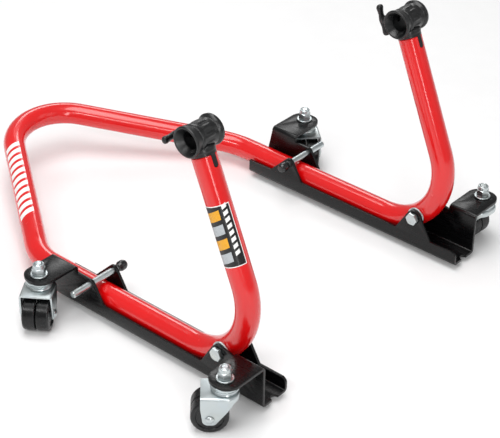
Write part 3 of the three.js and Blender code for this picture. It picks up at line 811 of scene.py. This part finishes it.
class STAND_OT_decals(bpy.types.Operator):
    """Lay the slanted stripes on the left arm and the striped label on the left upright"""

    bl_idname = "stand.decals"
    bl_label = "Stripes and label"

    def execute(self, context):
        if not context.scene.stand_finishes.decals:
            return {"FINISHED"}
        corners = tube_corners()[0]
        front, apex = corners[2], corners[3]
        along = (apex - front).normalized()
        outwards = Vector((-along.y, along.x, 0)).normalized()
        top = along.cross(-outwards).normalized()
        if top.z < 0:
            top.negate()
        stripes = bmesh.new()
        lean = math.radians(20) if along.cross(top).dot(outwards) > 0 else math.radians(-20)
        for k in range(STRIPE_COUNT):
            start = STRIPE_START + k * STRIPE_PITCH
            span = (start, start + STRIPE_WIDTH)
            around = (lean - STRIPE_HALF_ANGLE, lean + STRIPE_HALF_ANGLE)
            tube_patch(stripes, front, along, top, span, around, GROUND_FILM, STRIPE_SLANT)
        add_piece("arm_stripes", stripes, Matrix(), "white_vinyl", "lift_frame")

        heel = corners[1]
        facing = Vector((0, 1, 0))
        turn = 1 if UPRIGHT.cross(facing).dot(-UPRIGHT_ACROSS) > 0 else -1

        def label(name, bars, film, lift):
            shape = bmesh.new()
            for span, around, slant in bars:
                angles = [turn * math.radians(a) for a in around]
                tube_patch(shape, heel, UPRIGHT, facing, span, sorted(angles), lift, turn * slant)
            add_piece(name, shape, Matrix(), film, "lift_frame")

        ground = (LABEL_LOW + BORDER_WIDTH, LABEL_HIGH - BORDER_WIDTH)
        label("label_border", [((LABEL_LOW, LABEL_HIGH), (-41, 93), 0)], "white_vinyl", BORDER_FILM)
        label("label_ground", [(ground, (-37, 89), 0)], "black_vinyl", GROUND_FILM)
        starts = [LABEL_LOW + 6 + k * BAR_PITCH for k in range(BAR_COUNT)]
        bars = [((start, start + BAR_WIDTH), (-31, 38), BAR_SLANT) for start in starts]
        label("label_bars_grey", bars[0::2], "grey_vinyl", PRINT_FILM)
        label("label_bars_amber", bars[1::2], "amber_vinyl", PRINT_FILM)
        starts = [LABEL_LOW + 8 + k * DASH_PITCH for k in range(DASH_COUNT)]
        dashes = [((start, start + DASH_WIDTH), (54, 76), DASH_SLANT) for start in starts]
        label("label_dashes", dashes, "white_vinyl", PRINT_FILM)
        return {"FINISHED"}


# The side channels

def channel_shape():
    """The left channel about the tilt axis, seen from above, Z up from the floor."""
    sizes = bpy.context.scene.stand_channel
    sheet = millimetres(sizes.sheet)
    fold = millimetres(sizes.fold)
    under = millimetres(sizes.clearance)
    wall_top = under + millimetres(sizes.wall)
    plate_top = millimetres(sizes.plate_top)
    plate_width = millimetres(sizes.plate_width)
    origin = Vector((TILT.x, MID_Y, 0))
    low = (CHANNEL_LOW - origin) / MM
    high = (CHANNEL_HIGH - origin) / MM
    rear, front = low.x, high.x
    inner = low.y
    rail = millimetres(RAIL_Y)
    outer = 2 * rail - inner
    pivot_height = millimetres(TILT.z)
    pin = (middle("lock_pin_left") - origin) / MM
    kingpins = [(joint_place(f"castor_{end}_left_swivel") - origin) / MM for end in ("rear", "front")]
    slant = 8  # of the outer wall's sloped front end
    end_corner = 8  # rounding of the inner wall's rear end
    wall_corner = 4  # rounding where an ear meets the low wall
    relief = 3  # between the outer wall's rear top and the plate's fold
    overlap = 0.3  # of a plate's fold into the wall below it
    ear_foot = 31
    ear_radius = 12
    pin_rear = 24.8
    pin_front = 36.7
    pin_radius = 8.5
    plate_reach = 18.5
    plate_corner = 20

    tray = rounded(
        [
            (inner, under + fold + 1),
            (inner, under, fold),
            (outer, under, fold),
            (outer, under + fold + 1),
            (outer - sheet, under + fold + 1),
            (outer - sheet, under + sheet, fold - sheet),
            (inner + sheet, under + sheet, fold - sheet),
            (inner + sheet, under + fold + 1),
        ]
    )
    fold_start = plate_top - fold
    front_plate = kingpins[1].x - plate_width / 2
    walls = []
    for outside, y in ((True, outer - sheet), (False, inner)):
        rear_foot = (rear + plate_width, fold_start - relief) if outside else (-ear_foot, wall_top)
        pivot = ear_corner(rear_foot, (ear_foot, wall_top), (0, pivot_height), ear_radius)
        pin_foot = (pin.x - pin_rear, wall_top)
        front_foot = (front_plate, pin.z + pin_radius) if outside else (pin.x + pin_front, wall_top)
        pin_ear = ear_corner(pin_foot, front_foot, (pin.x, pin.z), pin_radius)
        ahead = [(front_plate, fold_start), (front - slant, fold_start)] if outside else []
        behind = [(rear, wall_top, end_corner)]
        if outside:
            behind = [(rear, fold_start), (rear + plate_width, fold_start)]
        outline = rounded(
            [
                *behind,
                rear_foot,
                pivot,
                (ear_foot, wall_top, wall_corner),
                (*pin_foot, wall_corner),
                pin_ear,
                front_foot,
                *ahead,
                (front, wall_top),
                (front, under + fold),
                (rear, under + fold),
            ]
        )
        walls.append(extruded("y", outline, y, y + sheet))
    plates = []
    inside = outer - sheet
    for kingpin in kingpins:
        ends = (kingpin.x - plate_width / 2, kingpin.x + plate_width / 2)
        far = kingpin.y + plate_reach
        bent = rounded(
            [
                (inside, fold_start - overlap),
                (inside, plate_top, fold),
                (inside + fold + sheet, plate_top),
                (inside + fold + sheet, plate_top - sheet),
                (outer, plate_top - sheet, fold - sheet),
                (outer, fold_start - overlap),
            ]
        )
        plates.append(extruded("x", bent, *ends))
        flat = rounded(
            [
                (ends[0], inside + fold),
                (ends[1], inside + fold),
                (ends[1], far, plate_corner),
                (ends[0], far, plate_corner),
            ]
        )
        plates.append(extruded("z", flat, plate_top - sheet, plate_top))
    across = (inner - 10, outer + 10)
    holes = [
        rod("y", BOLT_HOLE, *across, (0, 0, pivot_height)),
        rod("y", BOLT_HOLE, *across, (pin.x, 0, pin.z)),
        *[rod("z", BOLT_HOLE, plate_top - 10, plate_top + 10, (k.x, k.y, 0)) for k in kingpins],
        rod("z", 12, 0, under + sheet + 1, (rear, rail, 0)),
    ]
    shape = worked(extruded("x", tray, rear, front), joined=[*walls, *plates])
    shape = worked(shape, cut=holes)
    return softened(shape, millimetres(sizes.edge))


class STAND_OT_channels(bpy.types.Operator):
    """Fold the two side channels, with their ears, castor plates and holes"""

    bl_idname = "stand.channels"
    bl_label = "Side channels"

    def execute(self, context):
        for side, sign in SIDES.items():
            mirror = Matrix.Scale(sign, 4, Vector((0, 1, 0)))
            place = Matrix.Translation((TILT.x, MID_Y, 0)) @ mirror
            add_piece(
                f"channel_{side}_folded",
                channel_shape(),
                place,
                "black_powder_coat",
                "base",
                [f"channel_{side}"],
            )
        return {"FINISHED"}


# Tilt bolts and lock pins

# These turn a shape drawn along Z to lie along X or Y
ALONG_X = Matrix.Rotation(math.radians(90), 4, "Y")
ALONG_Y = Matrix.Rotation(math.radians(-90), 4, "X")


class STAND_OT_pivots(bpy.types.Operator):
    """Turn the tilt bolts, nuts and spacer discs"""

    bl_idname = "stand.pivots"
    bl_label = "Tilt bolts"

    def execute(self, context):
        for side in SIDES:
            low, high = box_mm(f"pivot_bolt_{side}")
            head = high.y - 6.4
            shift = Matrix.Translation((TILT.x, 0, TILT.z)) @ ALONG_Y
            bolt = turned(
                [
                    (0, low.y),
                    (4, low.y),
                    (5, low.y + 1),
                    (5, head),
                    (8.2, head),
                    (8.2, head + 0.5),
                    *chamfered_hexagon(NUT_FLATS, head + 0.5, high.y),
                    (5.2, high.y - 0.1),
                    (4.6, high.y - 0.35),
                    (0, high.y - 0.35),
                ]
            )
            add_piece(f"tilt_bolt_{side}", bolt, shift, ZINC, "base", [f"pivot_bolt_{side}"])
            low, high = box_mm(f"pivot_nut_{side}")
            top = chamfered_hexagon(NUT_FLATS, low.y + 0.4, high.y)
            ends = [(5.9, high.y), (5.3, high.y - 0.6)]
            nut = turned([(5.3, low.y), nut_seat(low.y), *top, *ends], closed=True)
            add_piece(f"tilt_nut_{side}", nut, shift, ZINC, "base", [f"pivot_nut_{side}"])
            for where in ("outer", "inner"):
                node = f"pivot_disc_{side}_{where}"
                low, high = box_mm(node)
                radius = (high.x - low.x) / 2
                disc = turned(
                    rounded(
                        [
                            (5.4, low.y, 0.3),
                            (radius, low.y, 1.0),
                            (radius, high.y, 1.0),
                            (5.4, high.y, 0.3),
                        ]
                    ),
                    closed=True,
                )
                add_piece(f"spacer_{side}_{where}", disc, shift, ZINC, "base", [node])
        return {"FINISHED"}


class STAND_OT_lock_pins(bpy.types.Operator):
    """Turn the lock pins and their knobs"""

    bl_idname = "stand.lock_pins"
    bl_label = "Lock pins"

    def execute(self, context):
        for side, sign in SIDES.items():
            low, high = box_mm(f"lock_pin_{side}")
            centre = middle(f"lock_pin_{side}")
            reach = high.y - low.y
            root = low.y if sign > 0 else high.y
            outwards = Vector((0, sign, 0))
            place = in_frame(Vector((centre.x, root * MM, centre.z)), Vector((1, 0, 0)), outwards)
            pin = turned(
                rounded(
                    [
                        (0, 0),
                        (5, 0),
                        (5, reach - 1.4, 0.5),
                        (3.6, reach, 0.5),
                        (0, reach),
                    ],
                    closed=False,
                )
            )
            body = f"lock_pin_{side}"
            add_piece(f"pin_{side}", pin, place, ZINC, body, [body])
            low, high = box_mm(f"lock_knob_{side}")
            size = high.y - low.y
            start = low.y if sign > 0 else high.y
            place = in_frame(Vector((centre.x, start * MM, centre.z)), Vector((1, 0, 0)), outwards)
            knob = turned(
                rounded(
                    [
                        (0, 0),
                        (5.2, 0, 3.0),
                        (7.5, 4.5, 4.5),
                        (7.5, size - 7, 4.0),
                        (5.6, size - 3, 1.2),
                        (5.6, size, 0.5),
                        (5.3, size - 0.2),
                        (5.3, size / 2),
                        (0, size / 2),
                    ],
                    closed=False,
                )
            )
            add_piece(f"knob_{side}", knob, place, "gloss_phenolic", body, [f"lock_knob_{side}"])
        return {"FINISHED"}


# Castors

def castor_mount(name):
    """Kingpin, nut, washer and raceway of one castor, drawn about the swivel axis."""
    at = joint_place(f"castor_{name}_swivel")
    place = Matrix.Translation((at.x, at.y, 0))
    low, high = heights(f"castor_{name}_kingpin")
    high -= 2.6  # the stem's end stands just clear of the collar
    kingpin = turned(
        rounded(
            [
                (0, low),
                (8, low, 0.8),
                (8, low + 3, 0.8),
                (5, low + 3),
                (5, high - 1.2, 0.4),
                (3.9, high, 0.4),
                (0, high),
            ],
            closed=False,
        )
    )
    add_piece(f"castor_{name}_stem", kingpin, place, ZINC, "base", [f"castor_{name}_kingpin"])
    low, high = heights(f"castor_{name}_nut")
    shoulder = high - 6
    collar = rounded(
        [(8.25, shoulder), (8.0, shoulder, 0.3), (7.8, high, 1.8), (5.8, high, 0.4), (5.3, high - 1.0)],
        closed=False,
    )
    nut = turned(
        [
            (5.3, low),
            (8.1, low),
            lambda a: (hexagon_radius(NUT_FLATS, a), low + (hexagon_radius(NUT_FLATS, a) - 8.2) * 0.5),
            *chamfered_hexagon(NUT_FLATS, low + 2.5, shoulder)[1:],
            *collar[1:],
        ],
        closed=True,
    )
    add_piece(f"castor_{name}_locknut", nut, place, ZINC, "base", [f"castor_{name}_nut"])
    low, high = heights(f"castor_{name}_washer")
    washer = turned(rounded([(5.4, low), (12, low, 0.5), (12, high, 0.9), (5.4, high, 0.4)]), closed=True)
    add_piece(f"castor_{name}_plate_washer", washer, place, ZINC, "base", [f"castor_{name}_washer"])
    low, high = heights(f"castor_{name}_raceway")
    race = turned(
        rounded(
            [
                (5.4, low),
                (17.6, low, 0.6),
                (19, low + 1.6, 0.8),
                (19, low + 3.4, 0.5),
                (17.9, low + 3.9, 0.3),
                (17.9, low + 4.6, 0.3),
                (19, low + 5.1, 0.5),
                (19, high - 0.8, 1.6),
                (16.8, high, 0.6),
                (5.4, high),
            ]
        ),
        closed=True,
    )
    add_piece(f"castor_{name}_race", race, place, ZINC, "base", [f"castor_{name}_raceway"])


def fork_shape():
    """The pressed fork, its swivel axis on Z and the wheels towards +X."""
    sizes = bpy.context.scene.stand_castor
    top = millimetres(sizes.fork_top)
    sheet = millimetres(sizes.sheet)
    half = 23.0
    inside = half - sheet
    front, rear, corner = 31, -19, 18
    outline = rounded([(front, -half), (front, half), (rear, half, corner), (rear, -half, corner)])
    hollow = rounded(
        [
            (50, -inside),
            (50, inside),
            (rear + sheet, inside, corner - sheet),
            (rear + sheet, -inside, corner - sheet),
        ]
    )
    outer = extruded("z", outline, 10, top)
    rim = [
        e
        for e in outer.edges
        if all(abs(v.co.z - top) < 1e-4 for v in e.verts) and not all(v.co.x > front - 0.1 for v in e.verts)
    ]
    bmesh.ops.bevel(outer, geom=rim, offset=3.2, segments=5, profile=0.5, affect="EDGES", clamp_overlap=True)
    inner = extruded("z", hollow, 0, top - sheet)
    rim = [e for e in inner.edges if all(abs(v.co.z - top + sheet) < 1e-4 for v in e.verts)]
    bmesh.ops.bevel(inner, geom=rim, offset=1.2, segments=3, profile=0.5, affect="EDGES", clamp_overlap=True)
    side_view = rounded(
        [
            (-30, 50.5),
            (-13, 50.5, 6),
            (12.5, 16.5, 6.5),
            (27.5, 16.5, 7.5),
            (31.2, 44, 3),
            (32, 70),
            (-30, 70),
        ]
    )
    shape = worked(outer, common=[extruded("y", side_view, -PAST, PAST)], cut=[inner])
    dish = rounded(
        [(0, top - 2), (17.4, top - 2), (17.4, top, 0.5), (16, top + 2, 1.0), (0, top + 2)],
        closed=False,
    )
    swage = rounded([(0, top - 0.5), (14, top - 0.5), (14, top + 0.4, 0.4), (0, top + 0.4)], closed=False)
    shape = worked(
        shape,
        joined=[turned(dish), turned(swage)],
        cut=[rod("z", BOLT_HOLE, 0, 90, (0, 0, 0)), rod("y", AXLE_HOLE, -PAST, PAST, (19, 0, 25))],
    )
    return softened(shape, 0.35)


def wheel_shape():
    """One wheel from its inner face at Z = 0 to its dished outer face."""
    sizes = bpy.context.scene.stand_castor
    radius = millimetres(sizes.wheel) / 2
    width = millimetres(sizes.width)
    tread = []
    start, end, count = 2.2, width - 4.0, 9
    for k in range(count):
        at = start + (end - start) * k / (count - 1)
        tread += [
            (radius, at - 0.35),
            (radius - 0.3, at - 0.15),
            (radius - 0.3, at + 0.15),
            (radius, at + 0.35),
        ]
    inner_face = rounded(
        [
            (4.4, 0.6),
            (9, 0.6, 0.4),
            (10, 1.6, 0.4),
            (19, 1.6, 0.4),
            (20, 0, 0.4),
            (radius, 0, 1.6),
            tread[0],
        ],
        closed=False,
    )
    outer_face = rounded(
        [
            tread[-1],
            (radius, width - 1.0, 3.0),
            (radius - 3.2, width, 0.8),
            (radius - 6.2, width, 0.6),
            (radius - 7.4, width - 1.9, 0.6),
            (10.2, width - 1.9, 0.6),
            (9.2, width - 0.5, 0.6),
            (6, width - 0.5, 0.4),
            (4.4, width - 0.9),
        ],
        closed=False,
    )
    return turned([*inner_face[:-1], *tread, *outer_face[1:]], closed=True)


RIVET_DOME = (
    (0, 26.2),
    (1.6, 26.0),
    (3.4, 25.4),
    (4.8, 24.6),
    (5.8, 23.7),
    (5.9, 23.4),
    (5.6, 23.3),
    (4, 23.3),
)


class STAND_OT_castors(bpy.types.Operator):
    """Build the four castors: mounts, forks, axles and twin wheels"""

    bl_idname = "stand.castors"
    bl_label = "Castors"

    def execute(self, context):
        sizes = context.scene.stand_castor
        for name in CASTORS:
            castor_mount(name)
            body = f"castor_{name}"
            swivel = joint_place(f"{body}_swivel")
            axle_at = joint_place(f"{body}_wheel_a_spin")
            trail = Vector((axle_at.x - swivel.x, axle_at.y - swivel.y, 0)).normalized()
            place = in_frame(Vector((swivel.x, swivel.y, 0)), trail)
            add_piece(f"{body}_pressed_fork", fork_shape(), place, ZINC, body, [f"{body}_fork"])
            across = Vector((0, 0, 1)).cross(trail)
            profile = []
            for sign in (-1, 1):
                ends = [(r, sign * h) for r, h in RIVET_DOME]
                profile += ends if sign < 0 else reversed(ends)
            axle = turned(profile)
            at = in_frame(axle_at, trail, across)
            add_piece(f"{body}_rivet", axle, at, ZINC, body, [f"{body}_axle"])
            for suffix, sign in (("a", 1), ("b", -1)):
                outwards = across * sign
                inner = axle_at + outwards * (sizes.gap / 2)
                spot = in_frame(inner, trail, outwards)
                wheel = f"{body}_wheel_{suffix}"
                add_piece(f"{body}_tyre_{suffix}", wheel_shape(), spot, "wheel_polypropylene", wheel, [wheel])
        return {"FINISHED"}


# Lifting heads

def head_shape():
    """A moulded head: Z up the tube from its open end, the mouth towards +Y."""
    sizes = bpy.context.scene.stand_head
    tube = bpy.context.scene.stand_tube
    half = millimetres(sizes.barrel) / 2
    bore = millimetres(sizes.bore) / 2
    waist = millimetres(sizes.body) / 2
    mouth = millimetres(sizes.mouth) / 2
    flange = millimetres(sizes.flange) / 2
    height = millimetres(sizes.height)

    def ribbed(low, high):
        """Shallow moulded pads round the waist, between two plain bands."""
        rows = []
        for k in range(9):
            at = low + (high - low) * k / 8
            fade = math.sin(math.pi * k / 8) ** 0.5

            def entry(angle, at=at, fade=fade):
                pad = 0.5 + 0.5 * math.tanh(3 * math.cos(10 * angle))
                return (waist + 1.1 * pad * fade, at)

            rows.append(entry)
        return rows

    barrel = turned(
        [
            *rounded(
                [
                    (bore, -half + 1),
                    (bore + 1, -half, 0.8),
                    (flange - 1, -half, 2.2),
                    (flange, -half + 5.5, 1.8),
                    (flange - 1.6, -half + 8, 1.2),
                    (waist + 0.4, -half + 9.5, 1.5),
                    (waist, -half + 14),
                ],
                closed=False,
            ),
            *ribbed(-half + 14.5, half - 19.5),
            *rounded(
                [
                    (waist, half - 18.6),
                    (waist + 0.2, half - 18, 0.4),
                    (waist + 1.3, half - 17, 0.8),
                    (waist + 1.3, half - 13.5, 0.8),
                    (waist + 0.4, half - 12.5, 1.0),
                    (mouth - 1.2, half - 6, 3.0),
                    (mouth, half - 2.5, 1.8),
                    (mouth - 0.8, half, 1.6),
                    (bore + 6.4, half, 1.4),
                    (bore, half - 10, 3.0),
                    (bore, half - 12),
                ],
                closed=False,
            ),
        ],
        closed=True,
        sides=120,
    )
    shift = millimetres(sizes.shift)
    barrel.transform(Matrix.Translation((0, shift, height)) @ ALONG_Y)
    inside = millimetres(tube.diameter) / 2 - millimetres(tube.wall) - 0.5
    outside = millimetres(tube.diameter) / 2
    neck = turned(
        rounded(
            [
                (0, -STEM_LENGTH),
                (inside - 2, -STEM_LENGTH, 1),
                (inside, 3 - STEM_LENGTH, 1),
                (inside, 0.3),
                (outside, 0.3, 0.6),
                (outside, 4, 0.5),
                (outside + 0.5, 5.5, 1.0),
                (outside + 0.5, 10, 2.0),
                (inside, 13),
                (0, 13),
            ],
            closed=False,
        )
    )
    key_width = 7.0
    key_end = -millimetres(tube.slot_depth) + 4.3
    key = worked(
        block((-outside + 0.2, -key_width / 2, key_end), (-inside + 2, key_width / 2, 1.3)),
        joined=[rod("x", key_width, -outside + 0.2, -inside + 2, (0, 0, key_end))],
    )
    boss = turned(rounded([(0, 12), (7.2, 12), (7.2, 19.6, 1.2), (5, 19.6), (0, 19.6)], closed=False))
    boss.transform(Matrix.Translation((0, 0, height + WING_RISE)) @ ALONG_X)
    return worked(
        barrel,
        joined=[neck, key, boss],
        cut=[
            rod("y", 2 * bore, -half - 5, half + 5, (0, shift, height), 120),
            rod("x", WING_HOLE, 5, PAST, (0, 0, height + WING_RISE)),
        ],
    )


def wing_screw_shape():
    """A T-headed clamping screw along X, its wings along Y."""
    span = millimetres(bpy.context.scene.stand_head.wing_span) / 2
    screw = turned(
        rounded(
            [
                (0, 15.6),
                (3.2, 15.6),
                (4, 16.4),
                (4, 30.5),
                (6.0, 31.5, 0.8),
                (6.3, 38, 2.0),
                (4, 42),
                (0, 42),
            ],
            closed=False,
        )
    )
    screw.transform(ALONG_X)
    rings = []
    squareness = 0.8  # under 1 makes a wing's section fuller than an ellipse
    stations = [
        (-span, 1.0, 1.4),
        (-span + 0.8, 3.0, 3.3),
        (-span + 2.4, 4.2, 4.6),
        (-span + 5, 4.6, 5.0),
        (-span + 9, 3.8, 4.4),
        (-span + 14, 3.1, 4.0),
        (-4, 3.8, 4.6),
        (0, 4.2, 4.9),
    ]
    stations += [(-s, a, b) for s, a, b in reversed(stations[:-1])]
    for s, thick, tall in stations:
        bow = 2.6 * (s / span) ** 2 - 0.8
        centre = Vector((40.6 - bow * 0.6, s, 0))
        ring = []
        for k in range(32):
            a = 2 * math.pi * k / 32
            x = thick * math.copysign(abs(math.cos(a)) ** squareness, math.cos(a))
            z = tall * math.copysign(abs(math.sin(a)) ** squareness, math.sin(a))
            ring.append(centre + Vector((x, 0, z)))
        rings.append(ring)
    return worked(screw, joined=[lofted(rings)])


class STAND_OT_heads(bpy.types.Operator):
    """Mould the two lifting heads and their clamping screws"""

    bl_idname = "stand.heads"
    bl_label = "Lifting heads"

    def execute(self, context):
        nylon = "moulded_nylon"
        for side in SIDES:
            place = in_frame(tube_end(side), UPRIGHT_ACROSS, UPRIGHT)
            head = f"head_{side}"
            add_piece(f"lifting_{head}", head_shape(), place, nylon, head, [head])
            low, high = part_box(f"wing_screw_{side}")
            along_y = (high.y - low.y) > 0.03
            at = joint_place(f"wing_screw_{side}_turn")
            second = UPRIGHT if along_y else Vector((0, 1, 0))
            spot = in_frame(at, UPRIGHT_ACROSS, second)
            screw = f"wing_screw_{side}"
            add_piece(f"clamp_screw_{side}", wing_screw_shape(), spot, nylon, f"wing_{side}", [screw])
        return {"FINISHED"}


# Floor, lights and camera

def soft_light(name, at, towards, width, depth, power):
    """A rectangular softbox that faces a point."""
    data = bpy.data.lights.new(name, "AREA")
    data.shape = "RECTANGLE"
    data.size, data.size_y = width, depth
    data.energy = power
    lamp = bpy.data.objects.new(name, data)
    lamp.location = at
    lamp.rotation_mode = "QUATERNION"
    lamp.rotation_quaternion = (Vector(towards) - Vector(at)).to_track_quat("-Z", "Y")
    bpy.context.scene.collection.objects.link(lamp)


SOFTBOXES = (  # name, place, width and depth in metres, watts
    ("overhead", (0.1, 0.2, 2.4), 2.2, 1.2, 36),
    ("strip_left", (-0.4, 2.0, 1.9), 2.8, 0.14, 24),
    ("strip_front", (-1.9, 1.2, 0.9), 0.3, 1.4, 9),
    ("far_box", (1.75, -2.1, 1.9), 1.5, 0.7, 15),
    ("fill", (-2.0, -0.8, 1.2), 1.6, 1.2, 4),
)
WORLD_STRENGTH = 0.36
LENS = 119.4  # mm
CAMERA_FROM_TILT = Vector((-1.1304, 1.518, 1.3876))  # from the middle of the tilt axis, at floor level
CAMERA_FORWARD = Vector((0.5396, -0.6386, -0.5486))
CAMERA_RIGHT = Vector((-0.764, -0.645, 0.0205))


class STAND_OT_stage(bpy.types.Operator):
    """Lay the pale floor, hang the softboxes and set the camera"""

    bl_idname = "stand.stage"
    bl_label = "Floor, lights and camera"

    def execute(self, context):
        scene = context.scene
        paper, tree, shader, place = new_finish("studio_paper")
        fibres = add_node(
            tree, "ShaderNodeTexNoise", inputs={"Vector": place, "Scale": waves(40), "Detail": 3}
        ).outputs["Fac"]
        colours = add_node(
            tree,
            "ShaderNodeMix",
            {"data_type": "RGBA"},
            {"Factor": fibres, "A": linear("#f4f4f4"), "B": linear("#f8f8f8")},
        )
        tree.links.new(colours.outputs["Result"], shader.inputs["Base Color"])
        shader.inputs["Roughness"].default_value = 0.9
        shader.inputs["Specular IOR Level"].default_value = 0.1
        shape = bmesh.new()
        bmesh.ops.create_grid(shape, x_segments=4, y_segments=4, size=30)
        floor = as_object("floor", shape)
        floor.data.materials.append(paper)

        world = bpy.data.worlds.new("studio")
        world.use_nodes = True
        background = world.node_tree.nodes["Background"]
        background.inputs["Color"].default_value = linear("#ffffff")
        background.inputs["Strength"].default_value = WORLD_STRENGTH
        scene.world = world
        aim = (0.0, MID_Y, 0.1)
        for name, at, width, depth, power in SOFTBOXES:
            soft_light(name, at, aim, width, depth, power)

        lens = bpy.data.cameras.new("camera")
        lens.sensor_width = 36
        lens.lens = LENS
        lens.clip_end = 100
        camera = bpy.data.objects.new("camera", lens)
        scene.collection.objects.link(camera)
        camera.rotation_mode = "QUATERNION"
        forward = CAMERA_FORWARD.normalized()
        right = (CAMERA_RIGHT - forward * CAMERA_RIGHT.dot(forward)).normalized()
        up = right.cross(forward)
        turn = Matrix((right, up, -forward)).transposed()
        camera.location = Vector((TILT.x, MID_Y, 0)) + CAMERA_FROM_TILT
        camera.rotation_quaternion = turn.to_quaternion()
        scene.camera = camera
        scene.view_settings.view_transform = "Standard"
        return {"FINISHED"}


OPERATORS = (
    STAND_OT_tube,
    STAND_OT_decals,
    STAND_OT_channels,
    STAND_OT_pivots,
    STAND_OT_lock_pins,
    STAND_OT_castors,
    STAND_OT_heads,
    STAND_OT_stage,
)


class STAND_PT_panel(bpy.types.Panel):
    """Buttons for each piece of the stand, and its sizes"""

    bl_idname = "STAND_PT_panel"
    bl_label = "Paddock stand"
    bl_space_type = "VIEW_3D"
    bl_region_type = "UI"
    bl_category = "Stand"

    def draw(self, context):
        for operator in OPERATORS:
            self.layout.operator(operator.bl_idname)
        for name in GROUPS:
            box = self.layout.box()
            group = getattr(context.scene, name)
            for prop in group.bl_rna.properties:
                if prop.identifier not in ("rna_type", "name"):
                    box.prop(group, prop.identifier)


GROUPS = {
    "stand_tube": StandTubeSizes,
    "stand_channel": StandChannelSizes,
    "stand_castor": StandCastorSizes,
    "stand_head": StandHeadSizes,
    "stand_finishes": StandFinishes,
}


def register():
    """Registers the groups, operators and panel."""
    for name, group in GROUPS.items():
        bpy.utils.register_class(group)
        setattr(bpy.types.Scene, name, PointerProperty(type=group))
    for operator in OPERATORS:
        bpy.utils.register_class(operator)
    bpy.utils.register_class(STAND_PT_panel)


def unregister():
    """Takes them all away again."""
    bpy.utils.unregister_class(STAND_PT_panel)
    for operator in reversed(OPERATORS):
        bpy.utils.unregister_class(operator)
    for name, group in reversed(GROUPS.items()):
        delattr(bpy.types.Scene, name)
        bpy.utils.unregister_class(group)


def main():
    """Builds the whole stand."""
    register()
    for operator in OPERATORS:
        group, call = operator.bl_idname.split(".")
        result = getattr(getattr(bpy.ops, group), call)()
        if result != {"FINISHED"}:
            raise RuntimeError(f"{operator.bl_label} did not finish")


if __name__ == "__main__":
    main()
